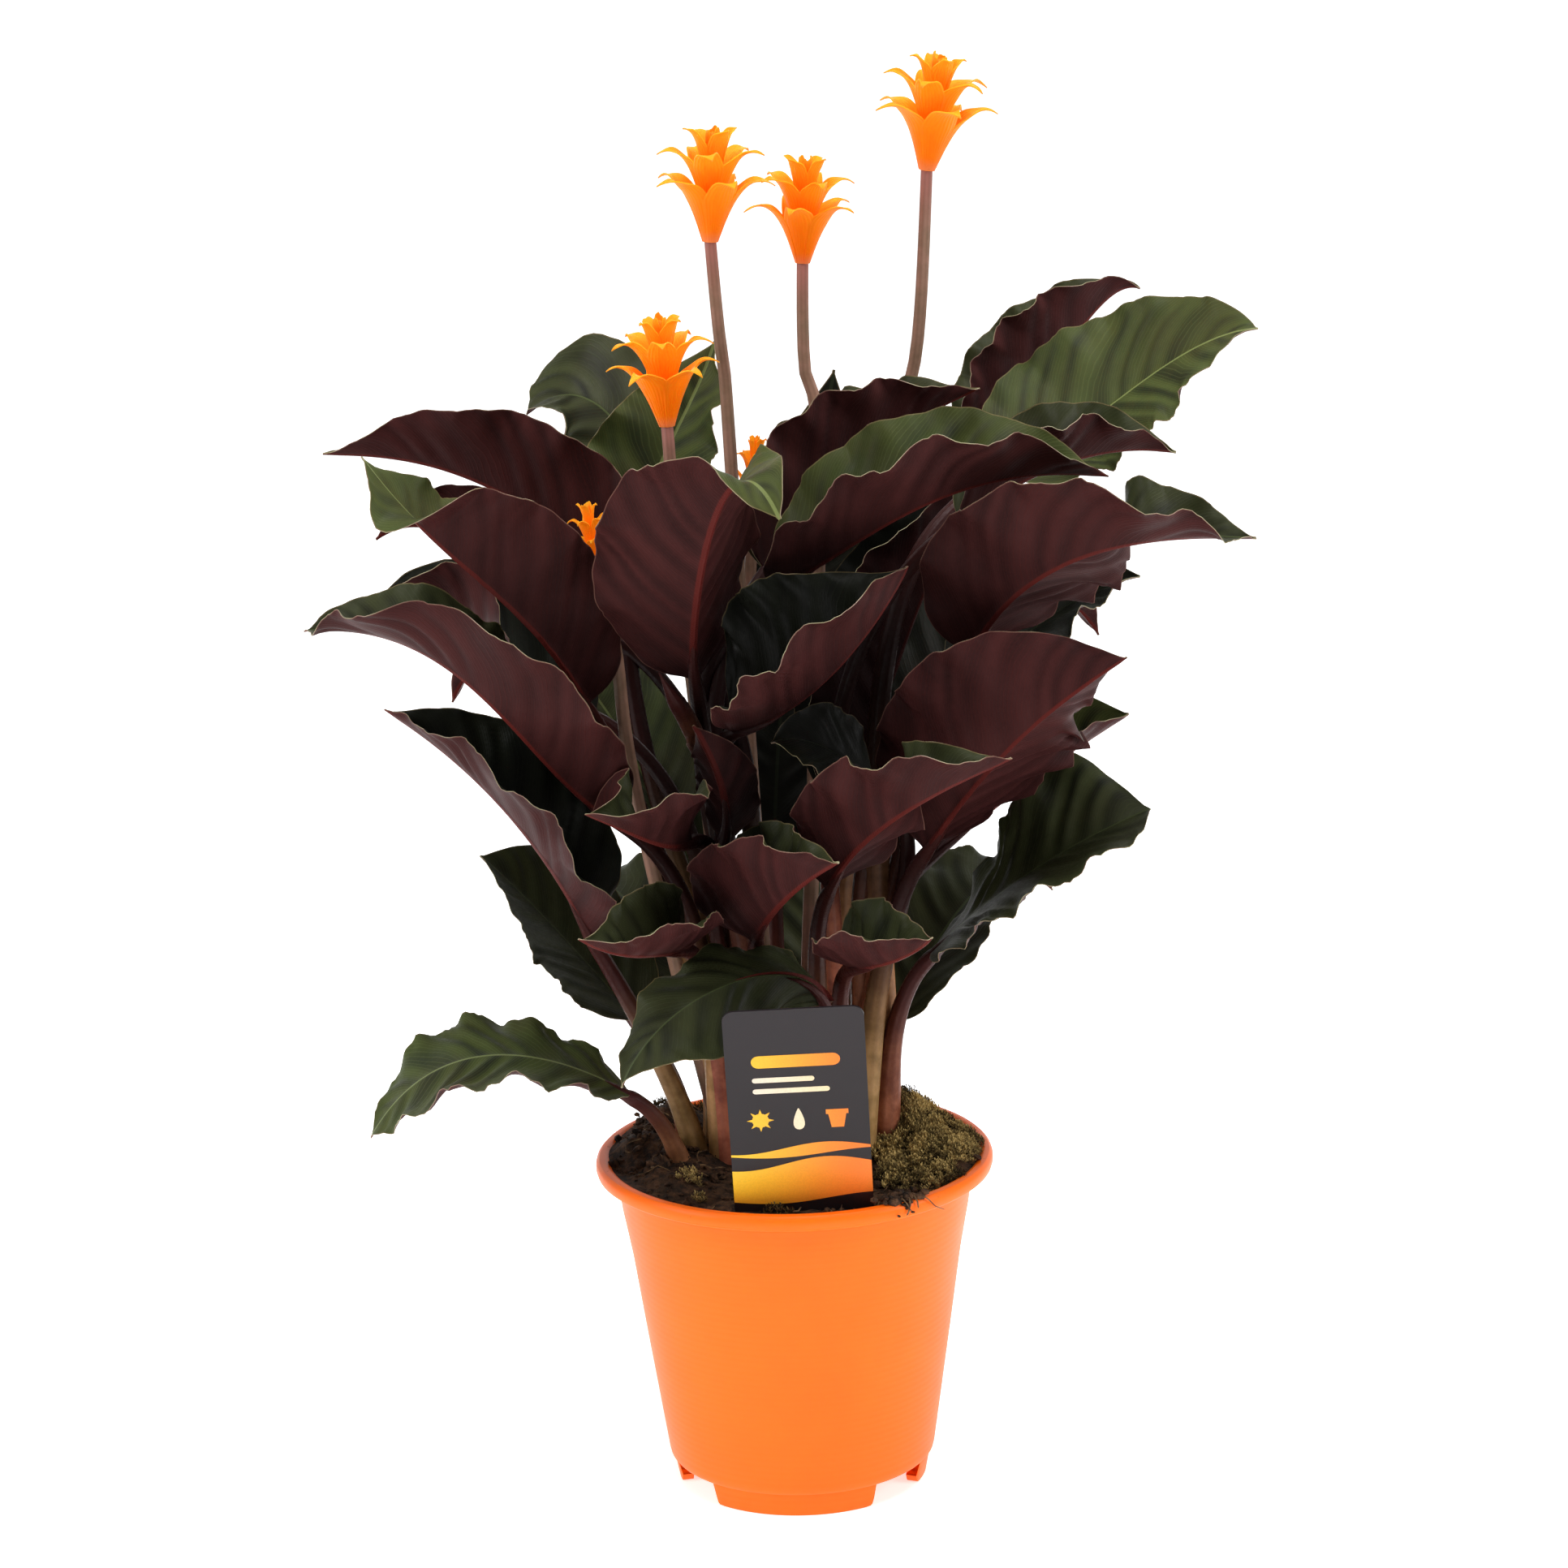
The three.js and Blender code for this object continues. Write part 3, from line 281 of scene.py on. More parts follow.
# The pot's wall as radius and height, from the middle of the floor's underside, out, up, over the lip and in.
POT_PROFILE = [
    (0, 8), (40, 8), (44, 8.1), (46, 8.6), (47, 9.8), (47.4, 11.5),
    (50, 29), (54, 56), (58, 84), (59.8, 94), (61.1, 101), (62.1, 108), (62.8, 112.4),
    (63.2, 113.6), (64.3, 114.2), (66.6, 114.1), (68.6, 114.2),
    (69.6, 115.0), (70, 116.4), (70, 117.4), (69.6, 118.8), (68.7, 119.7), (67.2, 120), (66.0, 119.7),
    (64.9, 118.8), (63.5, 117.6), (62.2, 116.4), (61.6, 114.5),
    (61.2, 111), (60.3, 104), (59.6, 100), (58.8, 97), (56.4, 80), (52.6, 56), (48.8, 30), (46.1, 12.5),
    (45.4, 10.6), (43.6, 9.4), (40, 9.3), (0, 9.3),
]
FEET = {
    "top": 45.8, "bottom": 44.2, "wall": 4, "corner": 3,
    "gaps": (35.5, 144.5, 215.5, 324.5), "gap": 31, "turn": -5,  # degrees
}
SLOT = {"from": 32, "to": 40, "width": 7}

SOIL_LEVEL = 116
MOUNDS = [((46, -4), 17, 11), ((-40, -12), 19, 7), ((2, 16), 32, 8)]  # where, how wide and how high
# Loose peat and moss heaped by the rim.
HEAPS = [
    ((-53, 5), 12, 8), ((-46, 31), 15, 11), ((-44, -34), 13, 3),
    ((39, 14), 13, 13), ((54, -20), 10, 3), ((30, 44), 12, 5),
]
SOIL_RADIUS = 60.9
SOIL_EDGE = {"radius": 66, "height": 119.3}  # where the soil laps onto the flare of the lip
# A lump of peat left on the lip. It takes one in so many of the crumbs, and a few rootlets hang from it.
CLOD = {"angle": -57, "away": 66.5, "height": 120.4, "one_in": 20, "roots": 4}
# Where moss grows: the middle of each bed, how wide it is and how densely it is covered.
MOSS_BEDS = [
    ((47, -10), 21, 1.0), ((-40, -32), 14, 0.05), ((-12, -50), 14, 0.07),
    ((36, 38), 20, 0.5), ((-36, 38), 16, 0.15),
]
MOSS_SHOOT_LEAVES = 7
ROOTLET = {"turns": 7, "step": 2.6, "points": 14, "sides": 5}

LABEL = {
    "width": 47.5, "showing": 84.4, "shoulder": 14, "buried": 38, "corner": 4, "thickness": 0.8,
    "foot": (3, -53, 115.7), "lean": 17.2, "roll": 1.6,
    "ink": 0.05,  # how deep the print sits and how far it stands proud
}

# What each set of random draws starts from.
SEEDS = {"soil": 11, "stems": 5, "blooms": 3}

# Places in metres, angles in degrees and the lens in mm.
CAMERA = {"place": (0, -1.6, 0.67), "pitch": 14.6, "roll": 1.6, "lens": 109.88}
# Each lamp's place and width in metres, and its power in watts. All of them are turned to the plant's middle.
LAMPS = [
    ("left_lamp", (-2.0, -0.8, 1.3), 1.2, 30),
    ("right_lamp", (2.0, -0.7, 1.2), 1.2, 24),
    ("top_lamp", (0.1, -0.2, 1.9), 1.4, 30),
]
PLANT_MIDDLE = (0, 0, 0.26)
SURROUNDINGS = 0.25  # strength of the light from all round
# The studio floor, in mm, and the bend in which it starts to rise behind the plant.
FLOOR = {
    "half_width": 5000, "front": -3000, "length": 9000,
    "bend_start": 2500, "bend_end": 4000, "bend_rise": 1000, "bend_push": 200,
}
# The heights, in metres, between which the painted shade in the heart of the plant comes in and goes out.
HEART = {"comes": (0.17, 0.24), "goes": (0.3, 0.4)}

# ------------------------------------------------------------------ curves


def between(values, place):
    """The value at places from 0 to 1 between evenly spaced ones, stepping smoothly from each to the next."""
    values = np.asarray(values, float)
    scaled = np.clip(place, 0, 1) * (len(values) - 1)
    low = np.minimum(scaled.astype(int), len(values) - 2)
    share = scaled - low
    share = share * share * (3 - 2 * share)
    return values[low] + (values[low + 1] - values[low]) * share


def along_points(points, place):
    """Points at shares of the way along a polyline, by length."""
    points = np.asarray(points, float)
    steps = np.linalg.norm(np.diff(points, axis=0), axis=1)
    lengths = np.concatenate([[0], np.cumsum(steps)]) / steps.sum()
    return np.stack([np.interp(place, lengths, points[:, axis]) for axis in range(points.shape[1])], axis=-1)


def bezier(points, place):
    """The cubic Bezier curve of four control points."""
    a, b, c, d = (np.asarray(point, float) for point in points)
    t = np.asarray(place, float)[..., None]
    return a * (1 - t) ** 3 + 3 * b * t * (1 - t) ** 2 + 3 * c * t * t * (1 - t) + d * t**3


def unit(vectors):
    """Vectors brought to a length of 1."""
    return vectors / np.maximum(np.linalg.norm(vectors, axis=-1, keepdims=True), 1e-12)


class Spine:
    """The cubic that passes through four points at even steps, read by its own length."""

    SAMPLES = 401

    def __init__(self, knots):
        self.knots = np.array(knots, float)
        self.stations = np.linspace(0, 1, self.SAMPLES)
        steps = np.linalg.norm(np.diff(self.cubic(self.stations), axis=0), axis=1)
        self.lengths = np.concatenate([[0], np.cumsum(steps)])
        self.length = self.lengths[-1]

    def cubic(self, t):
        point = 0
        for own in range(4):
            weight = np.ones_like(t)
            for other in range(4):
                if other != own:
                    weight = weight * (3 * t - other) / (own - other)
            point = point + weight[..., None] * self.knots[own]
        return point

    def point(self, place):
        return self.cubic(np.interp(np.asarray(place) * self.length, self.lengths, self.stations))

    def heading(self, place):
        step = 0.004
        ahead = self.point(np.minimum(np.asarray(place) + step, 1))
        return unit(ahead - self.point(np.maximum(np.asarray(place) - step, 0)))


# ------------------------------------------------------------------ making and shaping meshes


def deselect():
    """Leaves nothing selected, so that an operator acts on what follows alone."""
    bpy.ops.object.select_all(action="DESELECT")


def pick(piece):
    """Selects one piece alone and makes it the active one."""
    deselect()
    piece.select_set(True)
    bpy.context.view_layer.objects.active = piece


def in_edit_mode(piece, *steps):
    """Runs edit-mode operators on the whole of a piece."""
    pick(piece)
    bpy.ops.object.mode_set(mode="EDIT")
    bpy.ops.mesh.select_all(action="SELECT")
    for step in steps:
        step()
    bpy.ops.object.mode_set(mode="OBJECT")


def merge_doubles():
    """Merges vertices that lie on one another."""
    bpy.ops.mesh.remove_doubles(threshold=1e-6)


def face_outwards():
    """Turns every face of a closed piece outwards."""
    bpy.ops.mesh.normals_make_consistent(inside=False)


def apply_modifier(piece, modifier):
    """Makes what a modifier does part of the mesh."""
    pick(piece)
    bpy.ops.object.modifier_apply(modifier=modifier.name)


def smooth(piece, degrees):
    """Shades a piece smooth where its faces meet at less than an angle."""
    pick(piece)
    bpy.ops.object.shade_smooth_by_angle(angle=math.radians(degrees))


def join(name, pieces):
    """Joins pieces into one object of that name."""
    deselect()
    for piece in pieces:
        piece.select_set(True)
    bpy.context.view_layer.objects.active = pieces[0]
    if len(pieces) > 1:
        bpy.ops.object.join()
    whole = bpy.context.view_layer.objects.active
    whole.name = whole.data.name = name
    return whole


def placed(name, data):
    """A new object in the scene, made from its data."""
    made = bpy.data.objects.new(name, data)
    bpy.context.scene.collection.objects.link(made)
    return made


def vertex_places(piece):
    """The places of a piece's vertices, in metres."""
    places = np.empty(len(piece.data.vertices) * 3, np.float32)
    piece.data.vertices.foreach_get("co", places)
    return places.reshape(-1, 3).astype(float)


def move_vertices(piece, places):
    """Moves a piece's vertices to places in metres."""
    piece.data.vertices.foreach_set("co", np.asarray(places, np.float32).ravel())
    piece.data.update()


def grid(name, along, across, surface):
    """A grid primitive shaped by surface(u, v), in mm: u runs from 0 to 1 along it, v from -1 to 1 across."""
    deselect()
    bpy.ops.mesh.primitive_grid_add(x_subdivisions=along, y_subdivisions=across, size=2)
    piece = bpy.context.view_layer.objects.active
    piece.name = piece.data.name = name
    flat = vertex_places(piece)
    move_vertices(piece, surface((flat[:, 0] + 1) / 2, flat[:, 1]) * MM)
    return piece


def mark(piece, name, values):
    """Keeps a number, or three, for each vertex, for the materials to read."""
    values = np.asarray(values, np.float32)
    wide = values.ndim == 2
    kept = piece.data.attributes.new(name, "FLOAT_VECTOR" if wide else "FLOAT", "POINT")
    kept.data.foreach_set("vector" if wide else "value", values.ravel())


def tube(name, centres, radii, sides, side_way, shape=None):
    """A grid rolled round a line of centres. Its seam is merged and its ends are drawn to a point.
    side_way is the direction, one for each ring, that the seam looks away from."""
    centres = np.asarray(centres, float)
    radii = np.asarray(radii, float)
    heading = unit(np.gradient(centres, axis=0))
    aside = unit(side_way - (side_way * heading).sum(1, keepdims=True) * heading)
    over = np.cross(heading, aside)
    last = len(centres) - 1

    def surface(u, v):
        ring = np.rint(u * last).astype(int)
        angle = np.pi * v
        radius = radii[ring] * (1 if shape is None else shape(u, angle))
        out = aside[ring] * np.sin(angle)[:, None] + over[ring] * np.cos(angle)[:, None]
        return centres[ring] + out * radius[:, None]

    piece = grid(name, last, sides, surface)
    in_edit_mode(piece, merge_doubles, face_outwards)
    return piece


def turned(name, profile, sides, along=None):
    """A profile of radius and height, turned round the Z axis from a grid."""
    last = along or len(profile) - 1

    def surface(u, v):
        if along is None:
            radius, height = np.asarray(profile, float)[np.rint(u * last).astype(int)].T
        else:
            radius, height = along_points(profile, u).T
        angle = np.pi * v
        return np.stack([radius * np.cos(angle), radius * np.sin(angle), height], axis=-1)

    piece = grid(name, last, sides, surface)
    in_edit_mode(piece, merge_doubles, face_outwards)
    return piece


def give_materials(piece, *materials):
    """Gives a piece these materials in place of any it has."""
    piece.data.materials.clear()
    for material in materials:
        piece.data.materials.append(material)


def settle(piece, slot, *nodes):
    """Puts a finished piece on the plant's one body and in place of its nodes. Its slot is not used."""
    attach(piece, "root")
    if nodes:
        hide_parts(*nodes)
    return piece


# ------------------------------------------------------------------ node trees


def srgb(code):
    """The shader's colour for a hex code."""
    parts = [int(code[start:start + 2], 16) / 255 for start in (1, 3, 5)]
    return tuple(part / 12.92 if part < 0.04045 else ((part + 0.055) / 1.055) ** 2.4 for part in parts) + (1,)


def plug(tree, value, socket):
    """Links another socket to a socket, or sets its value."""
    if isinstance(value, bpy.types.NodeSocket):
        tree.links.new(value, socket)
    else:
        socket.default_value = value


def node(tree, kind, inputs=None, **settings):
    """A shader node with its inputs plugged and its settings made."""
    made = tree.nodes.new("ShaderNode" + kind)
    for name, value in settings.items():
        setattr(made, name, value)
    for name, value in (inputs or {}).items():
        plug(tree, value, made.inputs[name])
    return made


def maths(tree, operation, first, second=0.0, third=0.0):
    """The result of a Math node."""
    made = node(tree, "Math", {0: first, 1: second}, operation=operation)
    if operation == "MULTIPLY_ADD":
        plug(tree, third, made.inputs[2])
    return made.outputs[0]


def spread(tree, value, low, high, to_low=0.0, to_high=1.0):
    """Maps a range smoothly to another."""
    inputs = {"Value": value, "From Min": low, "From Max": high, "To Min": to_low, "To Max": to_high}
    return node(tree, "MapRange", inputs, interpolation_type="SMOOTHSTEP").outputs[0]


def mix(tree, share, first, second, blend="MIX"):
    """One colour blended into another by a share."""
    inputs = {0: share, 6: first, 7: second}
    return node(tree, "Mix", inputs, data_type="RGBA", blend_type=blend).outputs[2]


def object_place(tree):
    """Where a point is on its object, in metres."""
    return node(tree, "TexCoord").outputs["Object"]


def measures(tree, name):
    """The three numbers that each vertex of a piece keeps under a name."""
    kept = node(tree, "Attribute", attribute_name=name).outputs["Vector"]
    return node(tree, "SeparateXYZ", {0: kept}).outputs


def speckle(tree, scale, detail=3.0, roughness=0.55):
    """Cloudy noise over the piece, from 0 to 1."""
    inputs = {"Vector": object_place(tree), "Scale": scale, "Detail": detail, "Roughness": roughness}
    return node(tree, "TexNoise", inputs).outputs["Fac"]


def bump(tree, height, distance, strength=1.0, under=None):
    """A normal that a height raises, over another normal where one is given."""
    inputs = {"Height": height, "Distance": distance, "Strength": strength}
    made = node(tree, "Bump", inputs)
    if under is not None:
        plug(tree, under, made.inputs["Normal"])
    return made.outputs["Normal"]


def new_material(name, **values):
    """A material with a Principled shader, whose even values are set by the names of its sockets."""
    material = bpy.data.materials.new(name)
    material.use_nodes = True
    tree = material.node_tree
    shader = tree.nodes["Principled BSDF"]
    for socket, value in values.items():
        shader.inputs[socket.replace("_", " ").title().replace("Ior", "IOR")].default_value = value
    return material, tree, shader


def new_group(name, inputs, outputs):
    """An empty node group with float inputs, as names and values, and float outputs."""
    tree = bpy.data.node_groups.new(name, "ShaderNodeTree")
    for socket, value in inputs.items():
        made = tree.interface.new_socket(socket, in_out="INPUT", socket_type="NodeSocketFloat")
        made.default_value = value
    for socket in outputs:
        tree.interface.new_socket(socket, in_out="OUTPUT", socket_type="NodeSocketFloat")
    source = tree.nodes.new("NodeGroupInput")
    sink = tree.nodes.new("NodeGroupOutput")
    return tree, source.outputs, sink.inputs


def use_group(tree, name, **inputs):
    """Places a shared effect in a tree, with its own values."""
    made = tree.nodes.new("ShaderNodeGroup")
    made.node_tree = bpy.data.node_groups[name]
    for socket, value in inputs.items():
        plug(tree, value, made.inputs[socket.replace("_", " ").capitalize()])
    return made.outputs


# ------------------------------------------------------------------ effects that several finishes share


def make_blade_marks():
    """Where a leaf's midrib, margin, side veins and the soft bands between them lie, from the measures that
    each blade carries: mm from the midrib, mm from the margin and the number of the band."""
    tree, given, out = new_group(
        "Blade marks",
        {"Rib width": 0.9, "Margin width": 0.6, "Wander": 0.3, "Veins": 9.0},
        ["Rib", "Margin", "Band", "Vein", "Edge"],
    )
    away, inward, band = measures(tree, "blade")
    drift = speckle(tree, 45, 2)
    wandering = maths(tree, "MULTIPLY_ADD", drift, given["Wander"], band)
    turn = maths(tree, "MULTIPLY", wandering, 2 * math.pi)
    swing = maths(tree, "COSINE", turn)
    strength = spread(tree, speckle(tree, 26, 2), 0.35, 0.65, 0.35, 1.0)
    swing = maths(tree, "MULTIPLY", swing, strength)
    tree.links.new(maths(tree, "MULTIPLY_ADD", swing, 0.5, 0.5), out["Band"])
    fine = maths(tree, "COSINE", maths(tree, "MULTIPLY", turn, given["Veins"]))
    tree.links.new(spread(tree, fine, 0.55, 1.0), out["Vein"])
    outer = maths(tree, "MULTIPLY", given["Rib width"], 1.6)
    tree.links.new(spread(tree, away, given["Rib width"], outer, 1.0, 0.0), out["Rib"])
    tree.links.new(spread(tree, inward, 0.25, given["Margin width"], 1.0, 0.0), out["Margin"])
    tree.links.new(inward, out["Edge"])


def make_mottle():
    """Soft cloudy variation and fine grain, both from 0 to 1."""
    tree, given, out = new_group("Mottle", {"Cloud scale": 30.0, "Grain scale": 700.0}, ["Cloud", "Grain"])
    cloud = speckle(tree, given["Cloud scale"], 4, 0.6)
    tree.links.new(spread(tree, cloud, 0.32, 0.68), out["Cloud"])
    grain = speckle(tree, given["Grain scale"], 2, 0.6)
    tree.links.new(spread(tree, grain, 0.3, 0.7), out["Grain"])


def make_heart_shade():
    """How deep in the heart of the plant a place is, from 0 to 1, for painted shade on leaves and stalks."""
    tree, given, out = new_group("Heart shade", {"Inner": 0.04, "Outer": 0.082, "Behind": 0.016}, ["Depth"])
    x, y, z = node(tree, "SeparateXYZ", {0: object_place(tree)}).outputs
    flat = node(tree, "CombineXYZ", {0: x, 1: maths(tree, "SUBTRACT", y, given["Behind"])}).outputs[0]
    away = node(tree, "VectorMath", {0: flat}, operation="LENGTH").outputs["Value"]
    around = spread(tree, away, given["Inner"], given["Outer"], 1.0, 0.0)
    low = spread(tree, z, *HEART["comes"])
    high = spread(tree, z, *HEART["goes"], 1.0, 0.0)
    tree.links.new(maths(tree, "MULTIPLY", around, maths(tree, "MULTIPLY", low, high)), out["Depth"])


def painted_heart_shade(tree, body, strength):
    """The body colour, darkened by painted shade in the heart of the plant."""
    depth = use_group(tree, "Heart shade")["Depth"]
    return mix(tree, maths(tree, "MULTIPLY", depth, strength), body, srgb("#060404"))


# ------------------------------------------------------------------ finishes


def leaf_top(name, light, dark, blush, rib, roughness):
    """The upper side: green with darker bands along the side veins, a pale midrib and a thin tan edge."""
    material, tree, shader = new_material(
        name, sheen_weight=0.03, sheen_roughness=0.4, sheen_tint=srgb("#AEBE9A"), specular_ior_level=0.1
    )
    marks = use_group(tree, "Blade marks", rib_width=0.5, margin_width=0.5)
    mottle = use_group(tree, "Mottle", cloud_scale=34.0)
    blotch = use_group(tree, "Mottle", cloud_scale=85.0)
    inner = spread(tree, marks["Edge"], 0.0, 9.0, 0.35, 1.0)
    banded = maths(tree, "MULTIPLY", maths(tree, "POWER", marks["Band"], 1.5), inner)
    body = mix(tree, banded, light, dark)
    body = mix(tree, maths(tree, "MULTIPLY", mottle["Cloud"], 0.4), body, blush)
    body = mix(tree, maths(tree, "MULTIPLY", blotch["Cloud"], 0.2), body, dark)
    body = mix(tree, maths(tree, "MULTIPLY", marks["Vein"], 0.1), body, rib)
    body = mix(tree, maths(tree, "MULTIPLY", marks["Rib"], 0.75), body, rib)
    body = mix(tree, maths(tree, "MULTIPLY", marks["Margin"], 0.55), body, srgb("#7A6A48"))
    # Painted shade in the heart of the plant.
    body = painted_heart_shade(tree, body, 0.7)
    tree.links.new(body, shader.inputs["Base Color"])
    wear = maths(tree, "MULTIPLY_ADD", mottle["Grain"], 0.1, roughness - 0.05)
    tree.links.new(wear, shader.inputs["Roughness"])
    relief = bump(tree, marks["Vein"], 0.00016, 0.3)
    tree.links.new(bump(tree, mottle["Grain"], 0.00006, 0.3, relief), shader.inputs["Normal"])
    return material


def leaf_underside(name, light, dark, rib, roughness):
    """The underside: velvety maroon, with soft bands of painted shade along the pleats, a raised red midrib
    and a thin brownish edge.
    """
    material, tree, shader = new_material(
        name, sheen_weight=0.04, sheen_roughness=0.35, sheen_tint=srgb("#C87878"), specular_ior_level=0.04
    )
    marks = use_group(tree, "Blade marks", rib_width=1.0, margin_width=0.4)
    mottle = use_group(tree, "Mottle", cloud_scale=40.0, grain_scale=900.0)
    # Painted shade: darker bands along the pleats of the side veins.
    body = mix(tree, maths(tree, "MULTIPLY", marks["Band"], 0.6), light, dark)
    body = mix(tree, maths(tree, "MULTIPLY", mottle["Cloud"], 0.35), body, dark)
    body = mix(tree, maths(tree, "MULTIPLY", mottle["Grain"], 0.12), body, light)
    body = mix(tree, maths(tree, "MULTIPLY", marks["Vein"], 0.12), body, rib)
    body = mix(tree, maths(tree, "MULTIPLY", marks["Rib"], 0.9), body, rib)
    body = mix(tree, maths(tree, "MULTIPLY", marks["Margin"], 0.5), body, srgb("#7E5A4E"))
    # Painted shade in the heart of the plant.
    body = painted_heart_shade(tree, body, 0.8)
    tree.links.new(body, shader.inputs["Base Color"])
    gloss = maths(tree, "MULTIPLY_ADD", marks["Rib"], -0.15, roughness)
    tree.links.new(gloss, shader.inputs["Roughness"])
    relief = bump(tree, marks["Vein"], 0.00014, 0.4)
    tree.links.new(bump(tree, mottle["Grain"], 0.00006, 0.3, relief), shader.inputs["Normal"])
    return material


def leaf_edge():
    """The blade's thin margin, from olive cream to a brownish pink."""
    material, tree, shader = new_material("leaf_edge", roughness=0.5)
    mottle = use_group(tree, "Mottle", cloud_scale=140.0)
    tree.links.new(mix(tree, mottle["Cloud"], srgb("#9A9670"), srgb("#86685A")), shader.inputs["Base Color"])
    return material


def stalk_skin():
    """A leaf stalk: ribbed, from brownish pink to olive, and from pale by the soil to dark red by its blade,
    partly its own red and partly painted light and shade.
    """
    material, tree, shader = new_material("stalk_skin", specular_ior_level=0.15)
    way, round_, tone = measures(tree, "stalk")
    mottle = use_group(tree, "Mottle", cloud_scale=110.0, grain_scale=900.0)
    pink = mix(tree, mottle["Cloud"], srgb("#C07053"), srgb("#8A4634"))
    olive = mix(tree, mottle["Cloud"], srgb("#BA945E"), srgb("#8C703E"))
    body = mix(tree, tone, pink, olive)
    # Pale by the soil and dark red towards the blade: partly the stalk's own red, partly painted light and
    # shade.
    body = mix(tree, spread(tree, way, 0.16, 0.7), body, srgb("#3C1512"))
    stripes = maths(tree, "COSINE", maths(tree, "MULTIPLY", round_, 18 * math.pi))
    shade = spread(tree, stripes, -1.0, 1.0, 0.0, 0.14)
    # Painted shade in the heart of the plant, over the darker stripes.
    body = painted_heart_shade(tree, mix(tree, shade, body, srgb("#3A2220")), 0.8)
    tree.links.new(body, shader.inputs["Base Color"])
    tree.links.new(spread(tree, mottle["Grain"], 0, 1, 0.38, 0.55), shader.inputs["Roughness"])
    relief = bump(tree, stripes, 0.00012, 0.4)
    tree.links.new(bump(tree, mottle["Grain"], 0.0001, 0.4, relief), shader.inputs["Normal"])
    return material


def flower_stalk_skin():
    """A flower stalk: brownish pink with fine darker lines, and rosier under the bloom."""
    material, tree, shader = new_material("flower_stalk_skin", specular_ior_level=0.25)
    way, round_, _ = measures(tree, "stalk")
    mottle = use_group(tree, "Mottle", cloud_scale=90.0, grain_scale=1100.0)
    body = mix(tree, mottle["Cloud"], srgb("#A27A68"), srgb("#866A54"))
    body = mix(tree, spread(tree, way, 0.93, 1.0, 0.0, 0.7), body, srgb("#A5625C"))
    stripes = maths(tree, "COSINE", maths(tree, "MULTIPLY", round_, 14 * math.pi))
    body = mix(tree, spread(tree, stripes, -1.0, 1.0, 0.0, 0.2), body, srgb("#5E4438"))
    tree.links.new(body, shader.inputs["Base Color"])
    tree.links.new(spread(tree, mottle["Grain"], 0, 1, 0.45, 0.6), shader.inputs["Roughness"])
    tree.links.new(bump(tree, stripes, 0.00015, 0.5), shader.inputs["Normal"])
    return material


def bract_skin():
    """A bloom's waxy bracts: deep orange in the funnel, yellower towards the points and rosy at the base. A
    faint glow of their own colour stands for the light that they let through."""
    material, tree, shader = new_material(
        "bract_skin", subsurface_weight=0.5, subsurface_scale=0.006,
        specular_ior_level=0.1, emission_strength=0.16,
    )
    share, height, side = measures(tree, "bract")
    mottle = use_group(tree, "Mottle", cloud_scale=120.0, grain_scale=1200.0)
    body = mix(tree, spread(tree, share, 0.2, 0.8), srgb("#FF7402"), srgb("#FF981C"))
    body = mix(tree, maths(tree, "MULTIPLY", mottle["Cloud"], 0.35), body, srgb("#FF880C"))
    lines = maths(tree, "COSINE", maths(tree, "MULTIPLY", side, 9 * math.pi))
    body = mix(tree, spread(tree, lines, 0.2, 1.0, 0.0, 0.16), body, srgb("#F87208"))
    body = mix(tree, spread(tree, height, 0.0, 0.12, 0.4, 0.0), body, srgb("#E98A66"))
    body = mix(tree, spread(tree, share, 0.955, 1.0, 0.0, 0.5), body, srgb("#C0742E"))
    tree.links.new(body, shader.inputs["Base Color"])
    tree.links.new(body, shader.inputs["Emission Color"])
    tree.links.new(spread(tree, mottle["Grain"], 0, 1, 0.42, 0.55), shader.inputs["Roughness"])
    relief = bump(tree, lines, 0.00012, 0.45)
    tree.links.new(bump(tree, mottle["Grain"], 0.00006, 0.3, relief), shader.inputs["Normal"])
    return material


def pot_plastic(colour):
    """Injection-moulded orange plastic, satin, with faint moulding rings and a little soil by the lip."""
    material, tree, shader = new_material(
        "pot_plastic", subsurface_weight=0.12, subsurface_scale=0.003, specular_ior_level=0.2
    )
    place = object_place(tree)
    height = node(tree, "SeparateXYZ", {0: place}).outputs[2]
    mottle = use_group(tree, "Mottle", cloud_scale=16.0, grain_scale=1500.0)
    deeper = mix(tree, 1.0, colour, srgb("#F2A080"), "MULTIPLY")
    body = mix(tree, maths(tree, "MULTIPLY", mottle["Cloud"], 0.12), colour, deeper)
    dust = speckle(tree, 420, 4, 0.7)
    near_lip = spread(tree, height, 0.096, 0.121)
    specks = maths(tree, "MULTIPLY", spread(tree, dust, 0.66, 0.74), near_lip)
    body = mix(tree, maths(tree, "MULTIPLY", specks, 0.55), body, srgb("#5A3A22"))
    tree.links.new(body, shader.inputs["Base Color"])
    rough = maths(tree, "MULTIPLY_ADD", mottle["Cloud"], 0.06, 0.36)
    tree.links.new(maths(tree, "MULTIPLY_ADD", specks, 0.4, rough), shader.inputs["Roughness"])
    waver = speckle(tree, 12, 2)
    wavy_height = maths(tree, "MULTIPLY_ADD", waver, 0.0012, height)
    rings = maths(tree, "SINE", maths(tree, "MULTIPLY", wavy_height, 2600))
    relief = bump(tree, rings, 0.00003, 0.5)
    tree.links.new(bump(tree, mottle["Grain"], 0.00003, 0.25, relief), shader.inputs["Normal"])
    return material


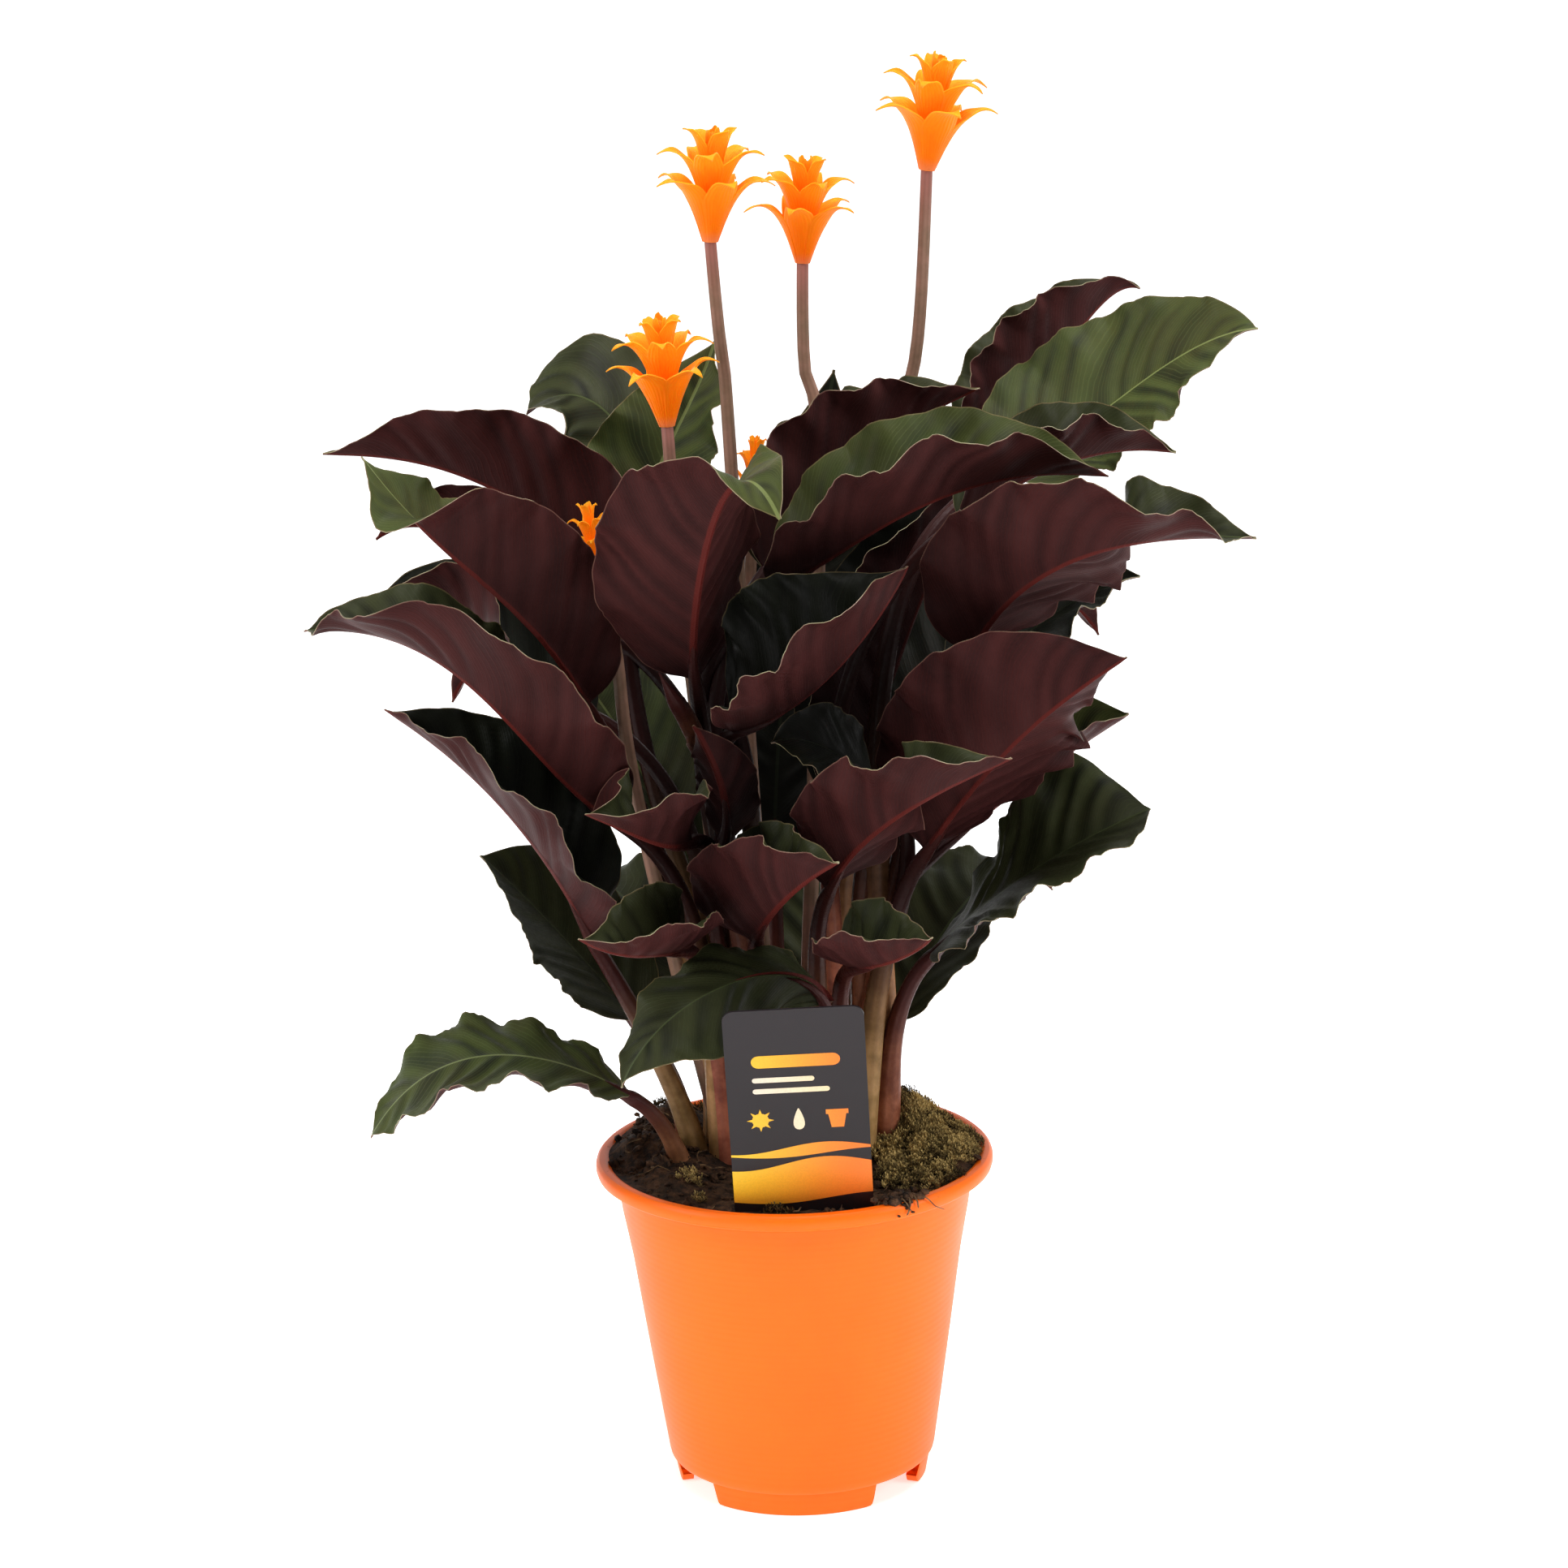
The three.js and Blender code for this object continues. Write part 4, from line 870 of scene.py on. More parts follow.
def peat():
    """Damp potting peat: near black with paler brown crumbs and a crumbly relief."""
    material, tree, shader = new_material("peat", specular_ior_level=0.25)
    crumbs = speckle(tree, 260, 6, 0.7)
    patches = speckle(tree, 60, 3)
    body = mix(tree, spread(tree, crumbs, 0.35, 0.7), srgb("#1A100A"), srgb("#5E4029"))
    body = mix(tree, spread(tree, patches, 0.5, 0.7, 0.0, 0.5), body, srgb("#2E2114"))
    tree.links.new(body, shader.inputs["Base Color"])
    tree.links.new(spread(tree, patches, 0.3, 0.7, 0.75, 0.95), shader.inputs["Roughness"])
    tree.links.new(bump(tree, crumbs, 0.0012, 0.9), shader.inputs["Normal"])
    return material


def moss():
    """Moss from dark brown to straw, each tuft with its own tone, into which painted shade is mixed."""
    material, tree, shader = new_material("moss", specular_ior_level=0.1, sheen_weight=0.04)
    tone = node(tree, "Attribute", attribute_name="tone").outputs["Fac"]
    grain = speckle(tree, 900, 3)
    body = mix(tree, tone, srgb("#21170A"), srgb("#D8BA76"))
    body = mix(tree, spread(tree, grain, 0.4, 0.7, 0.0, 0.35), body, srgb("#7D6430"))
    tree.links.new(body, shader.inputs["Base Color"])
    tree.links.new(spread(tree, grain, 0.3, 0.7, 0.7, 0.9), shader.inputs["Roughness"])
    tree.links.new(bump(tree, grain, 0.0002, 0.5), shader.inputs["Normal"])
    return material


def root_fibre():
    """Dry rootlets, brown to tan."""
    material, tree, shader = new_material("root_fibre", specular_ior_level=0.3)
    streaks = speckle(tree, 500, 3)
    body = mix(tree, spread(tree, streaks, 0.35, 0.65), srgb("#3A2618"), srgb("#7D6242"))
    tree.links.new(body, shader.inputs["Base Color"])
    tree.links.new(spread(tree, streaks, 0.3, 0.7, 0.65, 0.85), shader.inputs["Roughness"])
    return material


def printed_card(name, first, second, low, high, axis=0):
    """Print on the plant label: an even blend from one colour to another along an axis, with a fine grain."""
    material, tree, shader = new_material(name, specular_ior_level=0.25)
    parts = node(tree, "SeparateXYZ", {0: object_place(tree)}).outputs
    blend = spread(tree, parts[axis], low, high)
    grain = speckle(tree, 1800, 2)
    body = mix(tree, blend, first, second)
    body = mix(tree, spread(tree, grain, 0.35, 0.65, 0.0, 0.08), body, srgb("#1E1A1C"))
    tree.links.new(body, shader.inputs["Base Color"])
    tree.links.new(spread(tree, grain, 0.3, 0.7, 0.3, 0.4), shader.inputs["Roughness"])
    return material


# ------------------------------------------------------------------ leaves


def outline(u, wide):
    """Half the width of a blade as a share of its broadest: round towards the stalk, pointed at the tip."""
    near = np.sqrt(np.maximum(1 - ((wide - u) / wide) ** 2, 0))
    past = np.clip((u - wide) / (1 - wide), 0, 1)
    return np.where(u < wide, near, (1 - past**2.2) ** 1.15)


def blade_frame(leaf, spine, u):
    """The rib's points with its heading, the way to the leaf's left and the way over its upper side."""
    face = math.radians(leaf.face)
    out = np.array([math.cos(face), math.sin(face), 0])
    heading = spine.heading(u)
    left = np.cross([0, 0, 1], out) + np.zeros_like(heading)
    left = unit(left - (left * heading).sum(-1, keepdims=True) * heading)
    return spine.point(u), heading, left, np.cross(heading, left)


def leaf_number(leaf):
    """A leaf's place in the table, which sets its pattern apart from the others'."""
    return LEAVES.index(leaf)


def blade_measures(leaf, spine, u, v):
    """How far each place is from the midrib and from the margin, in mm, and its band along the side veins."""
    least = BLADE["neck"] + (BLADE["tip"] - BLADE["neck"]) * u
    half = np.maximum(leaf.width / 2 * outline(u, leaf.wide), least)
    share = np.abs(v)
    forward = BLADE["slant"] * leaf.width / 2 * share ** BLADE["arch"] * (0.35 + 0.65 * outline(u, leaf.wide))
    band = (u * spine.length - forward) / BLADE["spacing"] + 0.37 * leaf_number(leaf)
    band = band + np.where(v < 0, 0.4, 0)
    band = band + 0.2 * np.sin(1.7 * band + leaf_number(leaf)) + 0.08 * np.sin(3.9 * band + 2 * share)
    return half, share * half, (1 - share) * half, band


def blade_waves(leaf, u, v, away, band, looks):
    """How far the blade stands off its smooth form: the margin's waves, finer ruffles and the soft pleats."""
    share = np.abs(v)
    height, count, start = leaf.wave
    fade = np.sqrt(np.maximum(np.sin(np.pi * u), 0))
    begin = start + np.where(v < 0, 0.35, 0)
    waves = height * share**2.5 * np.sin(2 * np.pi * (count * u + begin))
    ruffle = looks.ruffle_height / MM * share**5 * np.sin(2 * np.pi * (2.7 * count * u + 3.1 * begin))
    ruffle = ruffle * (0.55 + 0.45 * np.sin(2 * np.pi * (1.3 * count * u + begin)))
    crimp = looks.crimp_height / MM * share**8 * np.sin(2 * np.pi * (7.3 * count * u + 1.7 * begin))
    crimp = crimp * np.maximum(np.sin(2 * np.pi * (1.9 * count * u + 2.3 * begin)), 0)
    uneven = 0.65 + 0.35 * np.sin(band * 1.9 + leaf_number(leaf))
    pleats = looks.pleat_height / MM * uneven * np.cos(2 * np.pi * band)
    pleats = pleats * (1 - np.exp(-((away / 5) ** 2))) * (1 - 0.5 * share**6)
    return fade * (waves + ruffle + crimp + pleats)


def blade_points(leaf, spine, u, v, looks):
    """The upper side of a blade, in mm, at shares u along its rib and v across it, the left being above 0."""
    centre, _, left, over = blade_frame(leaf, spine, u)
    side = np.where(v < 0, -1.0, 1.0)
    share = np.abs(v)
    lift = np.radians(np.where(v < 0, between(leaf.right, u), between(leaf.left, u)))
    curl = np.radians(np.where(v < 0, leaf.curl[1], leaf.curl[0]).astype(float))
    turn = lift + curl * share
    flat = np.abs(curl) < 1e-6
    bend = np.where(flat, 1, curl)
    level = np.where(flat, share * np.cos(lift), (np.sin(turn) - np.sin(lift)) / bend)
    rise = np.where(flat, share * np.sin(lift), (np.cos(lift) - np.cos(turn)) / bend)
    half, away, _, band = blade_measures(leaf, spine, u, v)
    nick = 1 + 0.012 * np.sin(u * 61 + side * 2) * np.sin(u * 23 + leaf_number(leaf)) * share
    gutter = (np.sqrt(away**2 + BLADE["gutter"] ** 2) - BLADE["gutter"]) / np.maximum(away, 1e-6)
    wave = blade_waves(leaf, u, v, away, band, looks)
    aside = side * (level * half * nick - wave * np.sin(turn))
    above = rise * half * nick * gutter + wave * np.cos(turn) + BLADE["wall"] / 2
    return centre + left * aside[:, None] + over * above[:, None]


def blade_walls(leaf, spine, u, v):
    """How thick the blade is, in mm: thin at its margin, and with its midrib standing out below."""
    _, away, inward, _ = blade_measures(leaf, spine, u, v)
    thin = BLADE["margin_wall"] + (BLADE["wall"] - BLADE["margin_wall"]) * np.clip(inward / 4, 0, 1)
    keel = BLADE["keel_at_neck"] + (BLADE["keel_at_tip"] - BLADE["keel_at_neck"]) * u**0.7
    width = BLADE["keel_width"] * (1.15 - 0.65 * u)
    return thin + keel * np.exp(-((away / width) ** 2))


def crowded(v):
    """Moves a grid's columns together towards the midrib."""
    return np.sign(v) * np.abs(v) ** 1.35


def build_leaf(leaf, looks):
    """A blade: its upper side shaped from a grid, then given its wall, midrib and margin."""
    spine = Spine(leaf.rib)
    steps = int(round(spine.length / looks.blade_step * MM))
    name = "leaf_" + leaf.name
    piece = grid(name + "_blade", steps, looks.blade_columns,
                 lambda u, v: blade_points(leaf, spine, u, crowded(v), looks))
    u = np.repeat(np.linspace(0, 1, steps + 1)[None, :], looks.blade_columns + 1, axis=0).ravel()
    v = crowded(np.repeat(np.linspace(-1, 1, looks.blade_columns + 1), steps + 1))
    _, away, inward, band = blade_measures(leaf, spine, u, v)
    mark(piece, "blade", np.stack([away, inward, band], axis=-1))
    walls = blade_walls(leaf, spine, u, v)
    thickest = float(walls.max())
    group = piece.vertex_groups.new(name="wall")
    for index, wall in enumerate(walls):
        group.add([index], float(wall / thickest), "REPLACE")
    # The upper side is a lit, half-lit or shaded copy: painted light and shade for where the leaf sits.
    give_materials(piece, bpy.data.materials["leaf_top_" + leaf.green], bpy.data.materials["leaf_underside"],
                   bpy.data.materials["leaf_edge"])
    solid = piece.modifiers.new("Wall", "SOLIDIFY")
    solid.thickness = thickest * MM
    solid.offset = -1
    solid.vertex_group = "wall"
    solid.material_offset = 1
    solid.material_offset_rim = 2
    apply_modifier(piece, solid)
    piece.vertex_groups.clear()
    smooth(piece, 55)
    return settle(piece, "leaf", name)


# ------------------------------------------------------------------ stalks


def leaf_stalk_line(leaf, rings):
    """The centres and radii of a leaf's stalk, from inside the rootstock until it runs out below the rib."""
    spine = Spine(leaf.rib)
    foot = np.array([*leaf.foot, STALK["foot_height"]], float)
    neck, heading, _, _ = (part[0] for part in blade_frame(leaf, spine, np.zeros(1)))
    way = neck - foot
    length = np.linalg.norm(way)
    low, high = leaf.lean
    rising = foot + np.array([way[0] * low, way[1] * low, length * 0.35])
    body = bezier([foot, rising, neck - heading * length * high, neck], np.linspace(0, 1, rings))
    ahead = np.array(STALK["run_out"]) / spine.length
    centre, _, _, over = blade_frame(leaf, spine, ahead)
    under = np.array(STALK["run_out_below"])
    u = np.linspace(0, 1, rings)
    body -= over[0] * (u**6)[:, None]
    stout = STALK["base_radius"] + leaf.width * STALK["radius_per_width"]
    radius = STALK["tip_radius"] + (stout - STALK["tip_radius"]) * (1 - u) ** 0.6
    sheath = 0.9 * (1 - 1 / (1 + np.exp(-(u - 0.42 - 0.1 * math.sin(leaf_number(leaf))) / 0.035)))
    joint = 0.28 * np.exp(-(((u - 0.95) / 0.05) ** 2))
    radii = radius + sheath * 0.7 + joint
    centres = np.concatenate([[foot - [0, 0, STALK["root"]]], body, centre - over * under[:, None]])
    radii = np.concatenate([[0], radii, STALK["run_out_radii"]])
    return centres, radii


def channelled(_, angle):
    """A stalk's section: a shallow channel on its upper side and fine ribs all round."""
    return 1 - 0.16 * np.exp(-((angle / 0.55) ** 2)) + 0.01 * np.cos(9 * angle)


def mark_stalk(piece, tone, centres):
    """Keeps, for each vertex, its share of the way up, its share of the way round and the stalk's tone."""
    places = vertex_places(piece) / MM
    lengths = np.concatenate([[0], np.cumsum(np.linalg.norm(np.diff(centres, axis=0), axis=1))])
    nearest = np.argmin(((places[:, None, :] - centres[None, :, :]) ** 2).sum(-1), axis=1)
    way = lengths[nearest] / lengths[-1]
    heading = unit(np.gradient(centres, axis=0))[nearest]
    side = unit(np.cross(heading, [0.31, 0.95, 0.05]))
    third = np.cross(heading, side)
    off = places - centres[nearest]
    round_ = np.arctan2((off * side).sum(1), (off * third).sum(1)) / (2 * np.pi)
    mark(piece, "stalk", np.stack([way, round_, np.full_like(way, tone)], axis=-1))


def build_leaf_stalk(leaf, draw):
    """A leaf's stalk, with its channel towards the upper side."""
    centres, radii = leaf_stalk_line(leaf, STALK["rings"])
    _, _, left, _ = blade_frame(leaf, Spine(leaf.rib), np.zeros(1))
    aside = np.repeat(left, len(centres), axis=0)
    piece = tube("stalk_" + leaf.name, centres, radii, STALK["sides"], aside, channelled)
    mark_stalk(piece, draw.uniform(0, 1), centres)
    give_materials(piece, bpy.data.materials["stalk_skin"])
    return piece


def build_flower_stalk(flower):
    """A flower's slim stalk, up to the base of its head."""
    spine = Spine([(*flower.foot, STALK["foot_height"]), *flower.path, flower.base])
    u = np.linspace(0, 1, STALK["rings"])
    start = spine.point(0.0) - [0, 0, STALK["root"]]
    end = spine.point(1.0) + [0, 0, 1.5]
    centres = np.concatenate([[start], spine.point(u), [end]])
    low, high = FLOWER_STALK["base_radius"], FLOWER_STALK["tip_radius"]
    radii = np.concatenate([[0], low + (high - low) * u, [0]])
    aside = np.repeat([[1.0, 0.2, 0]], len(centres), axis=0)
    piece = tube("stalk_" + flower.name, centres, radii, STALK["sides"], aside)
    mark_stalk(piece, 0.5, centres)
    give_materials(piece, bpy.data.materials["flower_stalk_skin"])
    return piece


def build_shoot():
    """A young leaf, still rolled: a slim spindle with the seam of its roll winding up it."""
    steps, sides = SHOOT["steps"], SHOOT["sides"]
    spine = Spine(SHOOT["path"])
    u = np.linspace(0, 1, steps)
    radii = between(SHOOT["radii"], u)
    radii[0] = radii[-1] = 0
    centres = spine.point(u)

    def rolled(share, angle):
        seam = np.mod(angle / (2 * np.pi) + 1.2 * share, 1)
        return 1 + 0.28 * seam - 0.1

    piece = tube("shoot", centres, radii, sides, np.repeat([[1.0, 0, 0.2]], steps, axis=0), rolled)
    mark_stalk(piece, 0.1, centres)
    give_materials(piece, bpy.data.materials["stalk_skin"])
    return piece


# ------------------------------------------------------------------ blooms


def build_bract(tier, turn, number, draw):
    """One bract: its foot wraps the funnel, and it runs out into a slim, pointed, slightly drooping arm."""
    reach = draw.uniform(-0.1, 0.06)
    droop = draw.uniform(-1.2, 1.4)
    twist = draw.uniform(-0.2, 0.2)
    roll = draw.uniform(-0.6, 0.6)
    phase = draw.uniform(0, 2 * math.pi)
    layer = 0.25 * (number % 2)

    def surface(u, v):
        line = bezier(tier["path"], u)
        free = np.clip((u - tier["free"]) / (1 - tier["free"]), 0, 1)
        radius = (line[:, 0] + layer) * (1 + reach * free)
        half = tier["arm"] * (1 - free) ** 0.85 * (1 + 0.2 * np.sin(np.pi * free)) + 0.02
        spun = turn + twist * free**2 + v * np.minimum(tier["wrap"], half / radius)
        cup = BRACT["cup"] * v**2 * np.sin(np.pi * u)
        ripple = np.sin(15 * u + phase + 2 * np.sign(v)) * np.sin(np.pi * free)
        ruffle = BRACT["ruffle"] * np.abs(v) ** 2 * ripple
        rolled = 0.8 * roll * v * half * free * (1 - free)
        height = line[:, 1] + droop * free**2 + cup + ruffle + rolled
        return np.stack([radius * np.cos(spun), radius * np.sin(spun), height], axis=-1)

    piece = grid("bract_%d" % number, BRACT["along"], BRACT["across"], surface)
    flat = np.linspace(-1, 1, BRACT["across"] + 1)
    u = np.tile(np.linspace(0, 1, BRACT["along"] + 1), BRACT["across"] + 1)
    v = np.repeat(flat, BRACT["along"] + 1)
    height = vertex_places(piece)[:, 2] / MM / BLOOM_HEIGHT
    mark(piece, "bract", np.stack([u, height, v], axis=-1))
    wall = piece.modifiers.new("Wall", "SOLIDIFY")
    wall.thickness = BRACT["wall"] * MM
    wall.offset = 0
    apply_modifier(piece, wall)
    return piece


def build_core():
    """The middle of a flower head, which its bracts stand round."""
    piece = turned("bloom_core", CORE, sides=30, along=40)
    height = vertex_places(piece)[:, 2] / MM / BLOOM_HEIGHT
    mark(piece, "bract", np.stack([height * 0.25, height, np.zeros_like(height)], axis=-1))
    return piece


def build_bloom(flower, draw):
    """A flower head: its core and tiers of bracts, stood on the end of its stalk."""
    pieces = [build_core()]
    for tier in TIERS:
        for step in range(tier["count"]):
            turn = 2 * math.pi * (step + tier["turn"]) / tier["count"]
            pieces.append(build_bract(tier, turn + draw.uniform(-0.1, 0.1), len(pieces), draw))
    for piece in pieces:
        give_materials(piece, bpy.data.materials["bract_skin"])
    whole = join("bloom_%s_bracts" % flower.name, pieces)
    base = Vector(flower.base)
    axis = Vector(flower.tip) - base
    narrow = SMALL_BLOOM if flower.small else 1
    size = axis.length / BLOOM_HEIGHT
    stand = Vector((0, 0, 1)).rotation_difference(axis).to_matrix().to_4x4()
    spin = Matrix.Rotation(math.radians(flower.spin), 4, "Z")
    scale = Matrix.Diagonal((size * narrow, size * narrow, size, 1))
    whole.data.transform(Matrix.Translation(base * MM) @ stand @ spin @ scale)
    smooth(whole, 60)
    return settle(whole, "bloom", "bloom_" + flower.name)


# ------------------------------------------------------------------ pot


def cut_away(piece, cutter):
    """Cuts a closed piece with another, which is then removed."""
    cut = piece.modifiers.new("Cut", "BOOLEAN")
    cut.operation = "DIFFERENCE"
    cut.solver = "EXACT"
    cut.object = cutter
    apply_modifier(piece, cut)
    bpy.data.objects.remove(cutter)


def box_cutter(size, place, angle):
    """A box of a size in mm, centred on a place and then turned about the Z axis."""
    deselect()
    bpy.ops.mesh.primitive_cube_add(size=1)
    box = bpy.context.view_layer.objects.active
    turn = Matrix.Rotation(angle, 4, "Z")
    scale = Matrix.Diagonal((*[side * MM for side in size], 1))
    box.data.transform(turn @ Matrix.Translation(Vector(place) * MM) @ scale)
    return box


def build_foot(start, end, number):
    """One foot: a stretch of the skirt under the floor, between two angles in degrees, with round corners."""
    rows = np.array([(FEET["top"] - FEET["wall"], 9.0), (FEET["bottom"] - FEET["wall"], 0.35),
                     (FEET["bottom"] - FEET["wall"] + 0.4, 0), (FEET["bottom"] - 0.4, 0),
                     (FEET["bottom"], 0.35), (FEET["top"], 8.6), (FEET["top"], 9.0)])
    steps = int(end - start)
    long = math.radians(end - start) * FEET["bottom"]

    def surface(u, v):
        angle = np.radians(start + (end - start) * (v + 1) / 2)
        radius, height = rows[np.rint(u * (len(rows) - 1)).astype(int)].T
        inset = np.clip(1 - (1 - np.abs(v)) * long / 2 / FEET["corner"], 0, 1)
        corner = FEET["corner"] * (1 - np.sqrt(1 - inset**2))
        return np.stack([radius * np.cos(angle), radius * np.sin(angle), np.maximum(height, corner)], axis=-1)

    piece = grid("foot_%d" % number, len(rows) - 1, steps, surface)
    in_edit_mode(piece, lambda: bpy.ops.mesh.fill_holes(sides=0), face_outwards)
    return piece


def build_pot(finish):
    """The pot: its wall and lip turned, drain slots cut through and feet set under the floor."""
    body = turned("pot_shell", POT_PROFILE, POT["sides"])
    for gap in FEET["gaps"]:
        angle = math.radians(gap + FEET["turn"])
        middle = (SLOT["from"] + SLOT["to"]) / 2
        size = (SLOT["to"] - SLOT["from"], SLOT["width"], 6 * POT["wall"])
        cut_away(body, box_cutter(size, (middle, 0, POT["floor"]), angle))
    feet = []
    for index, gap in enumerate(FEET["gaps"]):
        start = FEET["gaps"][index - 1] - (360 if index == 0 else 0) + FEET["gap"] / 2 + FEET["turn"]
        feet.append(build_foot(start, gap - FEET["gap"] / 2 + FEET["turn"], index))
    pot = join("pot_moulding", [body, *feet])
    give_materials(pot, finish)
    smooth(pot, 32)
    return settle(pot, "pot", "pot")


# ------------------------------------------------------------------ soil, moss and rootlets


def soil_height(x, y):
    """The height of the soil over a place, before its crumbs."""
    lift = 0
    for (mound_x, mound_y), reach, rise in MOUNDS + HEAPS:
        lift = lift + rise * np.exp(-((x - mound_x) ** 2 + (y - mound_y) ** 2) / reach**2)
    return SOIL_LEVEL + lift


def rough_height(x, y):
    """The height of the soil with its lumps and crumbs."""
    lumps = noise.fractal(Vector((x, y, 0)) * 0.09, 0.8, 2.2, 5) * 1.6
    return float(soil_height(x, y)) + lumps


def build_soil():
    """The ball of peat, whose top is mounded and rough and laps onto the lip."""
    top_rings = 60
    sides = 150
    edge = SOIL_EDGE["radius"]
    wall = [(0, 9.7), (44, 9.7), (45.6, 12), (58.3, 97.9), (SOIL_RADIUS - 0.3, 110), (SOIL_RADIUS, 114.3)]
    rim = [(edge * (1 - ring / top_rings), SOIL_EDGE["height"]) for ring in range(top_rings + 1)]
    piece = turned("soil_ball", wall + rim, sides)
    places = vertex_places(piece) / MM
    for place in places:
        if place[2] > SOIL_EDGE["height"] - 0.01:
            free = min((edge - math.hypot(place[0], place[1])) / 4, 1)
            place[2] += (rough_height(place[0], place[1]) - place[2]) * max(free, 0)
    move_vertices(piece, places * MM)
    give_materials(piece, bpy.data.materials["peat"])
    smooth(piece, 80)
    return settle(piece, "soil", "soil")


def scattered(name, shapes, material, tones=None):
    """One object from many small shapes, each given by its vertices in mm and its faces. Tones holds a list
    for each shape, with a number for each of its vertices."""
    vertices, faces, marks = [], [], []
    for index, (points, sides) in enumerate(shapes):
        start = len(vertices)
        vertices.extend(tuple(np.asarray(point) * MM) for point in points)
        faces.extend(tuple(start + corner for corner in side) for side in sides)
        marks.extend(tones[index] if tones else [])
    mesh = bpy.data.meshes.new(name)
    mesh.from_pydata(vertices, [], faces)
    piece = placed(name, mesh)
    if tones:
        mark(piece, "tone", marks)
    give_materials(piece, material)
    return piece


def crumb_shape():
    """The corners and faces of a small lump, of radius 1."""
    deselect()
    bpy.ops.mesh.primitive_ico_sphere_add(subdivisions=1, radius=1)
    lump = bpy.context.view_layer.objects.active
    corners = [vertex.co.copy() for vertex in lump.data.vertices]
    faces = [tuple(face.vertices) for face in lump.data.polygons]
    bpy.data.objects.remove(lump)
    return corners, faces


def soil_spot(draw, reach):
    """A place drawn evenly from the soil within a reach of its middle."""
    angle = draw.uniform(0, 2 * math.pi)
    away = reach * math.sqrt(draw.random())
    return away * math.cos(angle), away * math.sin(angle)


def build_crumbs(draw, count):
    """Lumps of peat lying on the soil and in the clod on the lip, each flattened and turned its own way."""
    corners, faces = crumb_shape()
    shapes = []
    for index in range(count):
        in_clod = index < count / CLOD["one_in"]
        size = draw.uniform(0.7, 1.8) if in_clod else 0.5 + 2.0 * draw.random() ** 4
        if in_clod:
            angle = math.radians(CLOD["angle"] + draw.gauss(0, 2.6))
            away = CLOD["away"] + draw.gauss(0, 1.9)
            x, y = away * math.cos(angle), away * math.sin(angle)
            height = CLOD["height"] + draw.uniform(-0.3, 1.2) - max(away - 68, 0) ** 1.6
        else:
            x, y = soil_spot(draw, SOIL_EDGE["radius"] - 0.5)
            height = rough_height(x, y) + size * 0.25
        turn = Matrix.Rotation(draw.uniform(0, 6.28), 3, Vector((draw.random(), draw.random(), 1)))
        stretch = Vector((draw.uniform(0.7, 1.6), draw.uniform(0.6, 1.1), draw.uniform(0.5, 0.9))) * size
        centre = Vector((x, y, height))
        shapes.append(([centre + turn @ (corner * stretch) for corner in corners], faces))
    piece = scattered("peat_crumbs", shapes, bpy.data.materials["peat"])
    smooth(piece, 40)
    return settle(piece, "soil")


def moss_shoot(draw, foot, lean, tall):
    """A moss shoot: a few narrow leaves round a short leaning stem."""
    points, faces = [], []
    for index in range(MOSS_SHOOT_LEAVES):
        share = (index + 0.4) / MOSS_SHOOT_LEAVES
        angle = index * 2.4 + draw.uniform(-0.3, 0.3)
        root = foot + lean * tall * share * 0.8
        out = Vector((math.cos(angle), math.sin(angle), 0.55 + 0.9 * share)).normalized()
        side = out.cross(Vector((0, 0, 1))).normalized() * draw.uniform(0.2, 0.32)
        long = draw.uniform(1.2, 2.2) * (1.1 - 0.4 * share)
        start = len(points)
        middle = root + out * long * 0.5 + Vector((0, 0, 0.15))
        points.extend([root, middle + side, root + out * long, middle - side])
        faces.append((start, start + 1, start + 2, start + 3))
    return points, faces


def moss_cover(x, y):
    """How densely moss grows at a place, from 0 to 1: thick on the right of the soil and thin elsewhere."""
    thick = 0
    for (bed_x, bed_y), reach, share in MOSS_BEDS:
        thick = max(thick, share * math.exp(-((x - bed_x) ** 2 + (y - bed_y) ** 2) / reach**2))
    return thick


def build_moss(draw, count):
    """Moss in domed tufts, whose shoots lean out from their middle."""
    shapes, tones = [], []
    while len(shapes) < count:
        x, y = soil_spot(draw, SOIL_EDGE["radius"] - 3)
        patch = noise.fractal(Vector((x, y, 7)) * 0.19, 0.9, 2.1, 3)
        if draw.random() > moss_cover(x, y) * (1.1 if patch > 0 else 0.2):
            continue
        size = draw.uniform(2.0, 5.5)
        tone = draw.gauss(0.45 if x > 0 else 0.15, 0.3) + 0.8 * patch
        for _ in range(int(9 * size)):
            angle = draw.uniform(0, 2 * math.pi)
            off = math.sqrt(draw.random())
            aside = Vector((math.cos(angle), math.sin(angle), 0)) * off
            foot = Vector((x, y, 0)) + aside * size
            foot.z = rough_height(foot.x, foot.y) - 0.4 + size * 0.55 * (1 - off**2)
            tall = draw.uniform(1.4, 3.2) * (1.1 - 0.4 * off)
            shapes.append(moss_shoot(draw, foot, (aside * 0.8 + Vector((0, 0, 1))).normalized(), tall))
            # Each shoot is darker towards its tuft's edge, and darker at its root and paler at its tips:
            # partly the moss's own browning, partly painted shade.
            own = tone + draw.gauss(0, 0.12) - 0.35 * off**2
            leaf_tones_with_shade = [min(max(own + shift, 0), 1) for shift in (-0.45, 0, 0.3, 0)]
            tones.append(leaf_tones_with_shade * MOSS_SHOOT_LEAVES)
    piece = scattered("moss_tufts", shapes, bpy.data.materials["moss"], tones)
    return settle(piece, "soil")


